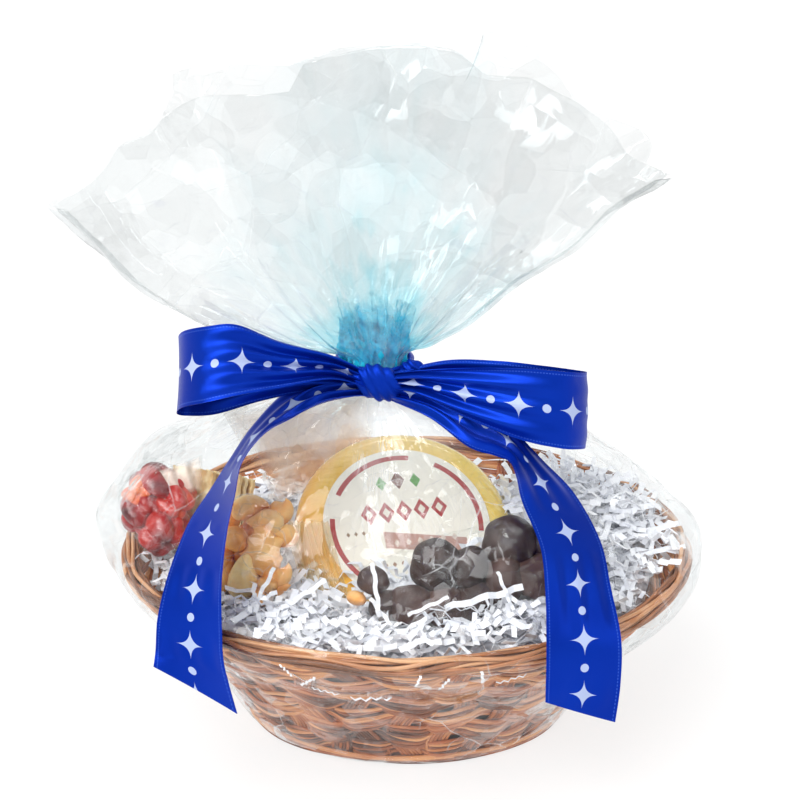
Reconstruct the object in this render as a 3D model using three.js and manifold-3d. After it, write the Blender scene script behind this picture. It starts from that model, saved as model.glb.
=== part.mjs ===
// A wrapped gift basket: an oval wicker basket filled with crinkled paper, with a wheel of cheese, bags of
// nuts, dried fruit and chocolates and a stack of crackers in it, all inside one sheet of clear film that is
// gathered above the food and tied with a satin ribbon.
// Millimetres. X runs to the right seen from the front, Y to the back, Z up from the surface it stands on.
import * as THREE from "three";
import { ConvexGeometry } from "three/addons/geometries/ConvexGeometry.js";
import { mergeVertices } from "three/addons/utils/BufferGeometryUtils.js";
import Module from "manifold-3d";

const wasm = await Module();
wasm.setup();

// Driving sizes
const RIM = { x: 145, y: 124 }; // half length and half width of the basket over its rim
const BASE = { x: 78, y: 56 }; // the same at its base
const BASKET_HEIGHT = 98;
const WALL = 6; // thickness of the woven wall
const FILM = 0.8; // wall of the film, its layers and creases taken together
const FLOOR_GAP = 0.5; // between the film's base and the basket
const NECK = { x: -16, y: 0, low: 187, high: 203, radius: 16 }; // where the film is tied
const RIBBON_THICKNESS = 0.8;
const CHEESE = { radius: 56, thickness: 41, round: 10, lean: 53, turn: 14 }; // lean and turn in degrees
const CHEESE_FACE = new THREE.Vector3(0, -2, 106); // middle of the face that carries the label
const LABEL = { radius: 43, thickness: 0.5 };
const GAP = 0.4; // between neighbours that touch
const POCKET_ROOM = 0.8; // between the paper and what lies in it

const degrees = THREE.MathUtils.degToRad;
const lerp = THREE.MathUtils.lerp;

// A small generator of repeatable random numbers from 0 to 1.
function seeded(seed) {
  let state = seed;
  return () => {
    state = (state * 1664525 + 1013904223) % 4294967296;
    return state / 4294967296;
  };
}

// A closed skin over rings of points. The first and last ring hold one point each, a pole. Where crossed(i, j)
// holds, the quad after point j between rings i and i + 1 is split along its other diagonal.
function skin(rings, crossed = () => false) {
  const first = rings.map((_, i) => rings.slice(0, i).reduce((sum, ring) => sum + ring.length, 0));
  const faces = [];
  for (let i = 0; i + 1 < rings.length; i++) {
    const count = Math.max(rings[i].length, rings[i + 1].length);
    for (let j = 0; j < count; j++) {
      const at = (ring, k) => first[ring] + (k % rings[ring].length);
      const [a, b] = [at(i, j), at(i, j + 1)];
      const [c, d] = [at(i + 1, j), at(i + 1, j + 1)];
      const other = crossed(i, j);
      if (a !== b) faces.push(a, b, other ? c : d);
      if (c !== d) faces.push(other ? b : a, d, c);
    }
  }
  const made = new THREE.BufferGeometry();
  const numbers = rings.flat().flatMap((p) => p.toArray());
  made.setAttribute("position", new THREE.Float32BufferAttribute(numbers, 3));
  made.setIndex(faces);
  return made;
}

// A three.js geometry as a solid that can be joined and cut.
function solid(geometry, matrix = new THREE.Matrix4()) {
  const bare = new THREE.BufferGeometry();
  bare.setAttribute("position", geometry.getAttribute("position").clone());
  if (geometry.index) bare.setIndex(geometry.index.clone());
  bare.applyMatrix4(matrix);
  const merged = mergeVertices(bare, 1e-3);
  return new wasm.Manifold(
    new wasm.Mesh({
      numProp: 3,
      vertProperties: merged.attributes.position.array,
      triVerts: new Uint32Array(merged.index.array),
    }),
  );
}

// The largest body of a solid as a three.js geometry, so that no loose scrap stays.
function geometryOf(made) {
  const bodies = made.decompose().sort((a, b) => b.volume() - a.volume());
  const mesh = bodies[0].getMesh();
  const back = new THREE.BufferGeometry();
  back.setAttribute("position", new THREE.BufferAttribute(new Float32Array(mesh.vertProperties), 3));
  back.setIndex(new THREE.BufferAttribute(new Uint32Array(mesh.triVerts), 1));
  return back;
}

function joined(solids) {
  return solids.reduce((all, next) => all.add(next));
}

// A rounded lump at a place: radii along its own axes, turned by angles in degrees.
function lumpGeometry([place, radii, turn = [0, 0, 0]], extra = 0) {
  const matrix = new THREE.Matrix4().compose(
    new THREE.Vector3(...place),
    new THREE.Quaternion().setFromEuler(new THREE.Euler(...turn.map(degrees))),
    new THREE.Vector3(...radii.map((r) => r + extra)),
  );
  return new THREE.IcosahedronGeometry(1, 1).applyMatrix4(matrix);
}

// The basket: bands of cane woven round upright stakes, with a roped border

const STAKES = 18;
const COLUMNS_PER_STAKE = 4;
const BASKET_COLUMNS = STAKES * COLUMNS_PER_STAKE;
const BANDS = 6;
const BORDER = 10; // height of the roped border
const BORDER_OUT = 4; // how far the border stands out of the wall's middle face
const WEAVE_DEPTH = 1.8;
const TOP_FLARE = 0.2; // how much of the wall's flare comes late, near its top

// How far the wall has flared, from 0 at the base to 1 at the border, at a share of its height.
const flare = (share) => (1 - TOP_FLARE) * share + TOP_FLARE * share ** 3;

// A point of the basket's wall: share of the height, angle, and how far out of the middle face it lies.
function wallPoint(share, angle, out, z) {
  const open = flare(share);
  const x = lerp(BASE.x, RIM.x - BORDER_OUT, open) + out;
  const y = lerp(BASE.y, RIM.y - BORDER_OUT, open) + out;
  return new THREE.Vector3(x * Math.cos(angle), y * Math.sin(angle), z);
}

// How far a band lies out at a column: it passes over one stake and under the next. Bands side by side pass
// a stake opposite ways.
function weave(column, band) {
  const side = Math.cos((column / COLUMNS_PER_STAKE) * Math.PI);
  return WEAVE_DEPTH * side * (band % 2 ? -1 : 1);
}

function basketGeometry() {
  const low = FILM + FLOOR_GAP;
  const wallTop = BASKET_HEIGHT - BORDER;
  const ring = (make) =>
    Array.from({ length: BASKET_COLUMNS }, (_, i) => make((i / BASKET_COLUMNS) * 2 * Math.PI, i));
  const height = (share) => lerp(low, wallTop, share);
  const rings = [[new THREE.Vector3(0, 0, low)]];
  rings.push(ring((angle) => wallPoint(0, angle, -8, low)));
  for (let step = 0; step <= 2 * BANDS; step++) {
    const share = step / (2 * BANDS);
    const z = height(share) + (step ? 0 : 3);
    const out = (column) => (step % 2 ? weave(column, Math.floor(step / 2)) : -1.4);
    rings.push(ring((angle, column) => wallPoint(share, angle, out(column), z)));
  }
  const rope = (column) => (column % 2 ? 0.8 : -0.8);
  const over = BORDER_OUT - 0.8;
  rings.push(ring((angle, column) => wallPoint(1, angle, over + rope(column), wallTop + 3)));
  rings.push(ring((angle, column) => wallPoint(1, angle, over - rope(column), BASKET_HEIGHT - 3)));
  rings.push(ring((angle) => wallPoint(1, angle, -1, BASKET_HEIGHT)));
  rings.push(ring((angle, column) => wallPoint(1, angle, -5.5 - rope(column), BASKET_HEIGHT - 3)));
  for (const share of [0.9, 0.4])
    rings.push(ring((angle) => wallPoint(share, angle, -WALL, height(share))));
  rings.push(ring((angle) => wallPoint(0, angle, -WALL - 2, low + WALL)));
  rings.push([new THREE.Vector3(0, 0, low + WALL)]);
  return skin(rings);
}

// The wheel of cheese, leaning back in the paper, and its round label

const faceNormal = new THREE.Vector3(
  Math.sin(degrees(CHEESE.turn)) * Math.cos(degrees(CHEESE.lean)),
  -Math.cos(degrees(CHEESE.turn)) * Math.cos(degrees(CHEESE.lean)),
  Math.sin(degrees(CHEESE.lean)),
);
const wheelTurn = new THREE.Quaternion().setFromUnitVectors(new THREE.Vector3(0, 1, 0), faceNormal);

function wheelGeometry(extra = 0, segments = 40, arcSteps = 3) {
  const radius = CHEESE.radius + extra;
  const half = CHEESE.thickness / 2 + extra;
  const profile = [new THREE.Vector2(0, -half)];
  for (const end of [-1, 1])
    for (let i = 0; i <= arcSteps; i++) {
      const angle = (end < 0 ? -1 + i / arcSteps : i / arcSteps) * (Math.PI / 2);
      profile.push(
        new THREE.Vector2(
          radius - CHEESE.round * (1 - Math.cos(angle)),
          end * (half - CHEESE.round) + CHEESE.round * Math.sin(angle),
        ),
      );
    }
  profile.push(new THREE.Vector2(0, half));
  return new THREE.LatheGeometry(profile, segments);
}

// Where something on the wheel's axis lies, a distance out from its labelled face.
const onAxis = (out) => CHEESE_FACE.clone().addScaledVector(faceNormal, out);

// Bags of food. Each is one lumpy solid: the pieces that press against its film, fused.

// Chocolates in a bag in front of the cheese: place, then radii.
const CHOCOLATES = [
  [[14, -60, 113], [15, 14, 14]],
  [[-14, -66, 101], [9, 9, 8]],
  [[38, -64, 107], [13, 12, 12]],
  [[49, -52, 121], [14, 14, 12]],
  [[61, -62, 106], [15, 13, 13]],
  [[68, -46, 117], [13, 13, 13]],
  [[8, -72, 97], [16, 11, 11]],
  [[38, -62, 95], [30, 13, 14]],
];

// Cashews and almonds in a bag at the left of the cheese: place, radii, turn.
const NUTS = [
  [[-76, -40, 110], [7, 7, 14], [10, 12, 0]],
  [[-79, -34, 121], [10, 7, 7], [0, 30, 20]],
  [[-66, -38, 98], [10, 7, 7], [0, -20, 10]],
  [[-83, -46, 99], [7, 7, 13], [5, -6, 0]],
  [[-91, -38, 108], [7, 6, 11], [0, 10, 40]],
  [[-88, -28, 118], [7, 7, 9], [0, -30, 0]],
  [[-72, -26, 126], [10, 7, 7], [0, 15, 0]],
  [[-81, -32, 100], [17, 13, 22]],
];

// Candied fruit in a bag that leans out over the left end of the basket: place, radii.
const FRUIT = [
  [[-134, -4, 116], [11, 12, 13]],
  [[-122, -15, 109], [12, 11, 12]],
  [[-122, 1, 127], [14, 12, 10]],
  [[-128, 10, 119], [12, 12, 12]],
  [[-114, -6, 122], [9, 10, 9]],
  [[-124, -2, 110], [14, 15, 13]],
];

// A bag's pieces as one solid, and the room that the paper leaves for it.
const bagSolid = (pieces) => joined(pieces.map((piece) => solid(lumpGeometry(piece))));
function roomFor(geometries) {
  const points = [];
  for (const geometry of geometries) {
    const position = geometry.getAttribute("position");
    for (let i = 0; i < position.count; i++) points.push(new THREE.Vector3().fromBufferAttribute(position, i));
  }
  return solid(new ConvexGeometry(points));
}

// A stack of thin crackers on its side: a comb outline whose teeth are the crackers.
const CRACKERS = { count: 7, pitch: 4.2, thick: 3, side: 40, deep: 38, notch: 1.8 };

function crackerGeometry() {
  const top = CRACKERS.side / 2;
  const end = ((CRACKERS.count - 1) * CRACKERS.pitch + CRACKERS.thick) / 2;
  const outline = [new THREE.Vector2(end, -top), new THREE.Vector2(-end, -top)];
  for (let i = 0; i < CRACKERS.count; i++) {
    const left = i * CRACKERS.pitch - end;
    const right = left + CRACKERS.thick;
    if (i > 0) outline.push(new THREE.Vector2(left, top - CRACKERS.notch));
    outline.push(new THREE.Vector2(left, top), new THREE.Vector2(right, top));
    if (i < CRACKERS.count - 1) outline.push(new THREE.Vector2(right, top - CRACKERS.notch));
  }
  const options = { depth: CRACKERS.deep, bevelEnabled: false };
  return new THREE.ExtrudeGeometry(new THREE.Shape(outline), options).translate(0, 0, -CRACKERS.deep / 2);
}

const crackerMatrix = new THREE.Matrix4().compose(
  new THREE.Vector3(-98, 27, 102),
  new THREE.Quaternion().setFromEuler(new THREE.Euler(degrees(70), degrees(38), degrees(-12))),
  new THREE.Vector3(1, 1, 1),
);

// The paper: a heaped core that fills the basket, with crinkled strips fused on its top

const HEAP = { columns: 30, side: 2.6, low: 8.2, edge: 5 };
const STRIPS = { count: 22, folds: 4, fold: 4, width: 3.6, thick: 1, rise: 1.5, tries: 400 };
const GOLDEN_ANGLE = 2.39996;

// The top of the paper core over a place in the basket.
function heapTop(x, y) {
  const rise = (cx, cy, spread, high) => high * Math.exp(-((x - cx) ** 2 + (y - cy) ** 2) / spread ** 2);
  return 85 + rise(88, 10, 38, 34) + rise(-60, -76, 32, 10) + rise(12, -104, 38, 6) - rise(20, 92, 46, 12);
}

function heapCore() {
  const inner = (share, angle) => wallPoint(share, angle, -WALL - HEAP.side, 0);
  const ring = (make) => Array.from({ length: HEAP.columns }, (_, i) => make((i / HEAP.columns) * 2 * Math.PI));
  const rings = [[new THREE.Vector3(0, 0, HEAP.low)]];
  rings.push(ring((angle) => wallPoint(0, angle, -WALL - 2 - HEAP.side, HEAP.low)));
  for (const share of [0.25, 0.5]) rings.push(ring((angle) => inner(share, angle).setZ(share * BASKET_HEIGHT)));
  rings.push(
    ring((angle) => {
      const rim = inner(0.85, angle);
      const z = heapTop(rim.x, rim.y) - HEAP.edge;
      return inner(Math.min(0.93, z / BASKET_HEIGHT), angle).setZ(z);
    }),
  );
  for (const size of [0.8, 0.58, 0.3])
    rings.push(
      ring((angle) => {
        const p = inner(0.93, angle).multiplyScalar(size);
        return p.setZ(heapTop(p.x, p.y));
      }),
    );
  rings.push([new THREE.Vector3(0, 0, heapTop(0, 0))]);
  return solid(skin(rings));
}

// One crinkled strip along X: a zigzag outline given the strip's width.
function stripGeometry(folds) {
  const edge = (lift) =>
    Array.from({ length: folds + 1 }, (_, i) => {
      const z = (i % 2 ? STRIPS.rise : -STRIPS.rise) + lift;
      return new THREE.Vector2((i - folds / 2) * STRIPS.fold, z);
    });
  const outline = [...edge(-STRIPS.thick / 2), ...edge(STRIPS.thick / 2).reverse()];
  const options = { depth: STRIPS.width, bevelEnabled: false };
  return new THREE.ExtrudeGeometry(new THREE.Shape(outline), options).translate(0, 0, -STRIPS.width / 2);
}

// Strips scattered over the core by a golden-angle spiral. One that would cross a neighbour is skipped.
function paperHeap(pockets) {
  const random = seeded(7);
  const strips = [];
  const reach = wallPoint(0.93, 0, -WALL - 12, 0).x / RIM.x;
  for (let i = 0; strips.length < STRIPS.count && i < STRIPS.tries; i++) {
    const angle = i * GOLDEN_ANGLE;
    const out = reach * Math.sqrt((i % 97) / 97);
    const [x, y] = [RIM.x * out * Math.cos(angle), RIM.y * out * Math.sin(angle)];
    const turn = [90 + 50 * (random() - 0.5), 360 * random(), 44 * (random() - 0.5)];
    const matrix = new THREE.Matrix4().compose(
      new THREE.Vector3(x, y, heapTop(x, y) + 0.6 + 1.6 * random()),
      new THREE.Quaternion().setFromEuler(new THREE.Euler(...turn.map(degrees))),
      new THREE.Vector3(1, 1, 1),
    );
    const strip = solid(stripGeometry(STRIPS.folds + Math.floor(3 * random())), matrix);
    if (pockets.every((pocket) => strip.intersect(pocket).isEmpty())) strips.push(strip);
  }
  return pockets.reduce((heap, pocket) => heap.subtract(pocket), joined([heapCore(), ...strips]));
}

// The film: one sheet from under the basket, up round it and over the food, through the tie to its open fan

// Each station is a ring of the film, from the bottom up: how far it reaches to the left and right in X and
// to the front and back in Y, and its height at those four places.
const FILM_STATIONS = [
  { x: [-60, 60], y: [-38, 38], z: [0, 0, 0, 0] },
  { x: [-81, 81], y: [-59, 59], z: [0.6, 0.6, 0.6, 0.6] },
  { x: [-94, 94], y: [-72, 72], z: [20, 20, 20, 20] },
  { x: [-107, 110], y: [-85, 85], z: [40, 40, 40, 40] },
  { x: [-121, 128], y: [-99, 99], z: [60, 60, 60, 60] },
  { x: [-143, 147], y: [-122, 122], z: [83, 83, 83, 83] },
  { x: [-151, 150], y: [-129, 129], z: [97, 98, 100, 100] },
  { x: [-156, 138], y: [-115, 115], z: [112, 112, 113, 115] },
  { x: [-134, 112], y: [-87, 89], z: [143, 134, 134, 138] },
  { x: [-100, 79], y: [-60, 62], z: [165, 157, 157, 160] },
  { x: [-62, 38], y: [-35, 36], z: [180, 175, 174, 176] },
  { x: [-32, 0], y: [-16, 16], z: [187, 187, 187, 187] },
  { x: [-32, 0], y: [-16, 16], z: [203, 203, 203, 203] },
  { x: [-58, 12], y: [-23, 23], z: [205, 207, 217, 215] },
  { x: [-95, 36], y: [-30, 31], z: [215, 220, 248, 243] },
  { x: [-125, 62], y: [-34, 37], z: [229, 243, 284, 275] },
  { x: [-149, 93], y: [-37, 42], z: [255, 268, 323, 309] },
  { x: [-167, 125], y: [-38, 46], z: [276, 291, 354, 341] },
];
const FILM_COLUMNS = 48;
const FAN_CORNERS = [[64, 10], [128, 2], [236, 4], [290, 10]]; // of the sheet: angle in degrees, rise
const FIRST_PLEATED = 6;
const GATHERED = 11; // the first of the two stations at the tie
const CHANNEL = 4; // radius of the way through the gathered film

// How deep the pleats are at a station: none round the basket, slight at the tie, deep in the fan.
function pleatDepth(station) {
  if (station < FIRST_PLEATED) return 0;
  if (station < GATHERED) return 1.6;
  return [0.4, 0.4, 1.6, 3.5, 5.5, 7.5, 9.5][station - GATHERED];
}

// Uneven pleats from -1 to 1 round the film: three trains of waves that never line up.
function pleat(angle, station) {
  const drift = 0.12 * station;
  return (
    0.5 * Math.sin(13 * angle + 1.7 * Math.sin(2 * angle)) +
    0.3 * Math.sin(8 * angle + 2.1 + drift) +
    0.2 * Math.sin(5 * angle + 0.6 - drift)
  );
}

// A point of the film, moved in and up by an inset.
function filmPoint(station, angle, inset) {
  const { x, y, z } = FILM_STATIONS[station];
  const [c, s] = [Math.cos(angle), Math.sin(angle)];
  const side = Math.abs(c) ** 2.6;
  let high = lerp(s > 0 ? z[3] : z[2], c > 0 ? z[1] : z[0], side);
  if (station === FILM_STATIONS.length - 1)
    for (const [at, rise] of FAN_CORNERS) {
      const off = THREE.MathUtils.euclideanModulo(angle - degrees(at) + Math.PI, 2 * Math.PI) - Math.PI;
      high += rise * Math.exp(-((off / 0.3) ** 2));
    }
  const out = pleatDepth(station) * pleat(angle, station) - inset.out;
  return new THREE.Vector3(
    (x[0] + x[1]) / 2 + ((x[1] - x[0]) / 2 + out) * c,
    (y[0] + y[1]) / 2 + ((y[1] - y[0]) / 2 + out) * s,
    high + inset.up,
  );
}

// Where the film's inner face lies from its outer one at each station.
function filmInset(station) {
  if (station === 0) return { out: 0, up: FILM };
  if (station === 1) return { out: 1, up: FILM };
  if (station < FIRST_PLEATED) return { out: FILM, up: 0.2 };
  if (station < GATHERED) return { out: FILM * 0.5, up: -FILM };
  if (station === GATHERED) return { out: NECK.radius - CHANNEL, up: -4 };
  if (station === GATHERED + 1) return { out: NECK.radius - CHANNEL, up: 5 };
  if (station === GATHERED + 2) return { out: 2, up: 2.4 };
  if (station === FILM_STATIONS.length - 1) return { out: FILM, up: 0 };
  return { out: FILM * 0.6, up: FILM * 0.9 };
}

function filmGeometry() {
  const ring = (station, inset) =>
    Array.from({ length: FILM_COLUMNS }, (_, i) => filmPoint(station, (i / FILM_COLUMNS) * 2 * Math.PI, inset));
  const outer = FILM_STATIONS.map((_, station) => ring(station, { out: 0, up: 0 }));
  const inner = FILM_STATIONS.map((_, station) => ring(station, filmInset(station)));
  const rings = [[new THREE.Vector3(0, 0, 0)], ...outer, ...inner.reverse(), [new THREE.Vector3(0, 0, FILM)]];
  return skin(rings, (i) => i > outer.length); // the inner face is split as the outer one is
}

// The ribbon: one strip tied round the neck, with a knot, two loops and two hanging tails

const middle = (ring) => ring.reduce((sum, p) => sum.add(p), new THREE.Vector3()).divideScalar(ring.length);

// A strip swept along a route. Each mark gives a place, and half the strip's width as a vector.
function stripSolid(marks, steps) {
  const places = new THREE.CatmullRomCurve3(marks.map(([p]) => new THREE.Vector3(...p)));
  const halves = new THREE.CatmullRomCurve3(marks.map(([, w]) => new THREE.Vector3(...w)));
  const rings = [];
  for (let i = 0; i <= steps; i++) {
    const place = places.getPoint(i / steps);
    const half = halves.getPoint(i / steps);
    const lift = new THREE.Vector3().crossVectors(places.getTangent(i / steps), half);
    lift.setLength(RIBBON_THICKNESS / 2);
    const corner = (across, up) => place.clone().addScaledVector(half, across).addScaledVector(lift, up);
    rings.push([corner(1, 1), corner(-1, 1), corner(-1, -1), corner(1, -1)]);
  }
  // The strip's two broad faces are split alike, so that they keep their distance where it twists.
  return solid(skin([[middle(rings[0])], ...rings, [middle(rings[steps])]], (_, j) => j === 2));
}

// Routes of the loops and tails, out from the knot: a place, then half the width there.
const LEFT_LOOP = [
  [[-18, -24.4, 196.6], [0, 1, 4]],
  [[-36, -29, 206], [0, 3, 5]],
  [[-61, -39, 212], [0, 7, 9]],
  [[-81, -45, 217], [0, 10, 14]],
  [[-95, -45, 215], [0, 12, 14.5]],
  [[-107, -37, 209], [0, 12.5, 14.5]],
  [[-111, -27, 201], [0, 12.5, 14.5]],
  [[-107, -19, 196], [0, 12.5, 14.5]],
  [[-93, -18, 196], [0, 11.5, 14.5]],
  [[-70, -17, 198], [0, 8, 11]],
  [[-42, -17, 198], [0, 4, 7]],
  [[-16, -20, 194], [0, 1, 4]],
];
const RIGHT_LOOP = [
  [[-10.5, -24.2, 196.2], [0, 0, 4]],
  [[4, -27, 197], [0, 1, 6]],
  [[28, -37, 196], [0, 3, 12]],
  [[54, -45, 194], [0, 4, 17]],
  [[73, -45, 191], [0, 4, 18.5]],
  [[83, -38, 187], [0, 4, 18.5]],
  [[87, -28, 183], [0, 4, 18.5]],
  [[82, -19, 180], [0, 4, 18.5]],
  [[66, -16, 181], [0, 4, 18.5]],
  [[44, -16, 186], [0, 4, 16]],
  [[18, -17, 193], [0, 3, 10]],
  [[-12, -20, 194], [0, 0, 4]],
];
const LEFT_TAIL = [
  [[-17, -22.8, 193], [0, 1, 4]],
  [[-40, -24, 192], [-1, 9, 3]],
  [[-57, -31, 187], [-3, 17, -1]],
  [[-72, -43, 179], [-4, 17, -6]],
  [[-82, -58, 170], [-4, 17, -7]],
  [[-88, -69, 159], [-7, 17, -7]],
  [[-94, -79, 148], [-10, 15, -6]],
  [[-98, -87, 136], [-12, 14, -5]],
  [[-101, -95, 123], [-14, 12, -4]],
  [[-103, -103, 107], [-16, 10, -3]],
  [[-103, -107, 90], [-17, 8, 0]],
  [[-101, -108, 73], [-20, 5, 10]],
];
const RIGHT_TAIL = [
  [[-12, -23.4, 192.6], [0, 1, 4.6]],
  [[11, -25, 188], [0, 8, 6]],
  [[32, -33, 179], [2, 17, 5]],
  [[44, -39, 175], [2, 18, 2]],
  [[52, -46, 171], [3, 18, -2]],
  [[59, -54, 164], [7, 17, -4]],
  [[68, -62, 152], [13, 13, -4]],
  [[78, -77, 135], [15, 11, -4]],
  [[81, -96, 120], [16, 9, -3]],
  [[83, -112, 102], [18, 6, -2]],
  [[83, -117, 82], [18, 5, -3]],
  [[82, -118, 67], [17, 4, -8]],
];

function bowSolid() {
  const inside = NECK.radius + 1.2;
  const outside = inside + 2.4;
  const [low, high] = [NECK.low + 2.2, NECK.high - 3.6];
  const profile = [
    [inside, low],
    [outside, low + 1.5],
    [outside + 0.6, (low + high) / 2],
    [outside, high - 1.5],
    [inside, high],
    [inside, low],
  ].map((p) => new THREE.Vector2(...p));
  const upright = new THREE.Matrix4().makeRotationX(Math.PI / 2).setPosition(NECK.x, NECK.y, 0);
  const band = solid(new THREE.LatheGeometry(profile, 24), upright);
  const knot = solid(lumpGeometry([[-14, -23.5, 195.5], [12, 5.5, 8.5], [0, 22, 0]]));
  const ear = solid(lumpGeometry([[3, -15, 197.5], [6, 4, 6.5], [0, -35, 0]]));
  const loops = [LEFT_LOOP, RIGHT_LOOP].map((route) => stripSolid(route, 24));
  const tails = [LEFT_TAIL, RIGHT_TAIL].map((route) => stripSolid(route, 16));
  return joined([band, knot, ear, ...loops, ...tails]);
}

// Materials: the colours that the pieces show

const finish = (color, roughness, extra = {}) =>
  new THREE.MeshStandardMaterial({ color, roughness, metalness: 0, ...extra });
const MATERIALS = {
  cane: finish(0xa8714a, 0.6),
  paper: finish(0xf2f3f6, 0.8),
  cheese: finish(0xf0c65a, 0.4),
  label: finish(0xefe6d6, 0.5),
  chocolate: finish(0x3a2a2a, 0.4),
  nut: finish(0xd9a469, 0.5),
  fruit: finish(0xb3262a, 0.3),
  cracker: finish(0xe6d3a3, 0.7),
  film: finish(0xdfeef0, 0.1, { transparent: true, opacity: 0.3 }),
  satin: finish(0x1338c4, 0.35),
};

// The object

const object = new THREE.Group();

function addNode(name, geometry, material) {
  const mesh = new THREE.Mesh(geometry, material);
  mesh.name = name;
  object.add(mesh);
  return mesh;
}

addNode("basket", basketGeometry(), MATERIALS.cane);

const wheel = addNode("cheese_wheel", wheelGeometry(), MATERIALS.cheese);
wheel.position.copy(onAxis(-CHEESE.thickness / 2));
wheel.quaternion.copy(wheelTurn);
wheel.updateMatrix();

const labelDisc = new THREE.CylinderGeometry(LABEL.radius, LABEL.radius, LABEL.thickness, 36);
const label = addNode("cheese_label", labelDisc, MATERIALS.label);
label.position.copy(onAxis(GAP + LABEL.thickness / 2));
label.quaternion.copy(wheelTurn);

// A round of the wheel's shape with fewer sides, larger all round by enough to clear it.
const wheelRoom = solid(wheelGeometry(POCKET_ROOM + 1, 24, 2), wheel.matrix);
addNode("chocolate_bag", geometryOf(bagSolid(CHOCOLATES).subtract(wheelRoom)), MATERIALS.chocolate);
addNode("nut_bag", geometryOf(bagSolid(NUTS).subtract(wheelRoom)), MATERIALS.nut);
addNode("fruit_bag", geometryOf(bagSolid(FRUIT)), MATERIALS.fruit);
addNode("cracker_stack", crackerGeometry(), MATERIALS.cracker).applyMatrix4(crackerMatrix);

const pockets = [
  wheelRoom,
  ...[CHOCOLATES, NUTS, FRUIT].map((pieces) => roomFor(pieces.map((piece) => lumpGeometry(piece, POCKET_ROOM)))),
  roomFor([crackerGeometry().scale(1.06, 1.05, 1.05).applyMatrix4(crackerMatrix)]),
];
addNode("paper_shred", geometryOf(paperHeap(pockets)), MATERIALS.paper);
addNode("film_wrap", filmGeometry(), MATERIALS.film);
addNode("ribbon_bow", geometryOf(bowSolid()), MATERIALS.satin);

export default object;
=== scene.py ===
# A wrapped gift basket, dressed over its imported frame: an oval wicker basket filled with crinkled paper, with
# cheese, nuts, dried fruit, chocolates and crackers, in clear film tied with a satin ribbon.
# Metres. X runs to the right seen from the front, Y to the back, Z up from the surface it stands on.
import math

import bpy
import numpy as np
from mathutils import Matrix, Vector


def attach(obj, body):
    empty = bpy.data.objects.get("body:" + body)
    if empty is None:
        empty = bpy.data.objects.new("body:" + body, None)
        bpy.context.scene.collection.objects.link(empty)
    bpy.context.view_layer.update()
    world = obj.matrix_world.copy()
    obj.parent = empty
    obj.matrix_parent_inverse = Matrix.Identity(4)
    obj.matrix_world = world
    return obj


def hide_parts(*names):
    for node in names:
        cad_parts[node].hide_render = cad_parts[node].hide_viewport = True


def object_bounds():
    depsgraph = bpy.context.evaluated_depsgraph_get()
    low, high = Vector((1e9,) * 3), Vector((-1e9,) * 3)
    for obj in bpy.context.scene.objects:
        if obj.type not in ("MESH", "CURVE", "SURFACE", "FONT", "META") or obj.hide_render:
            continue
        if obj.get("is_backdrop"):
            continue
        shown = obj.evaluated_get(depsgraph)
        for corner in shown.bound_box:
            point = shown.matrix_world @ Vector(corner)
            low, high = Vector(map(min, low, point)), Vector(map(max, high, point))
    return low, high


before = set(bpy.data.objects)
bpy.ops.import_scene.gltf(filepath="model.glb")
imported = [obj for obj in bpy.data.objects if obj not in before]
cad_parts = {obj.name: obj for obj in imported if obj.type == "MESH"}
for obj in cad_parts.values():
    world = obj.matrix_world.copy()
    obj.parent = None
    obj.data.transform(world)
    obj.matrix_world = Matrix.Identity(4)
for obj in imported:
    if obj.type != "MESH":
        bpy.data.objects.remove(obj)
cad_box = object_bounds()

# The table, the light and the camera
# The photograph's studio: a white table that reads as plain white, a bright even sky, one broad lamp high at
# the left, and long narrow lamps that only show as glints in the film and the satin.

SKY = 0.95
BACKDROP = 1.06
CAMERA_PLACE = (-0.0035, -1.1792, 0.7227)
CAMERA_PITCH = 65.1  # degrees from straight down
CAMERA_LENS = 117.63
GLINT_LAMPS = [  # place, size, strength
    ((-1.6, -1.3, 1.9), (0.3, 1.5), 5),
    ((1.8, -0.9, 1.4), (0.2, 1.6), 5),
    ((0.2, 1.6, 2.3), (2.0, 0.3), 5),
    ((0.5, -1.6, 2.8), (1.2, 0.25), 5),
]


def node(tree, kind, sockets=(), **settings):
    """One shader node. Sockets are set, or linked where the value is another node's output."""
    made = tree.nodes.new("ShaderNode" + kind)
    for key, value in settings.items():
        setattr(made, key, value)
    for key, value in dict(sockets).items():
        if isinstance(value, bpy.types.NodeSocket):
            tree.links.new(value, made.inputs[key])
        else:
            made.inputs[key].default_value = value
    return made


def calc(tree, operation, *values):
    return node(tree, "Math", dict(enumerate(values)), operation=operation).outputs[0]


def blend_colours(tree, factor, first, second, mode="MIX"):
    sockets = {0: factor, 6: first, 7: second}
    return node(tree, "Mix", sockets, data_type="RGBA", blend_type=mode).outputs[2]


def paint(red, green, blue):
    """A colour as it shows on screen, from 0 to 255, as the shader's linear light."""
    linear = [(c / 255) / 12.92 if c < 11 else ((c / 255 + 0.055) / 1.055) ** 2.4 for c in (red, green, blue)]
    return (*linear, 1.0)


def empty_material(name):
    material = bpy.data.materials.new(name)
    material.use_nodes = True
    material.node_tree.nodes.clear()
    return material, material.node_tree


def show(tree, shader):
    node(tree, "OutputMaterial", {0: shader.outputs[0]})


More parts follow.
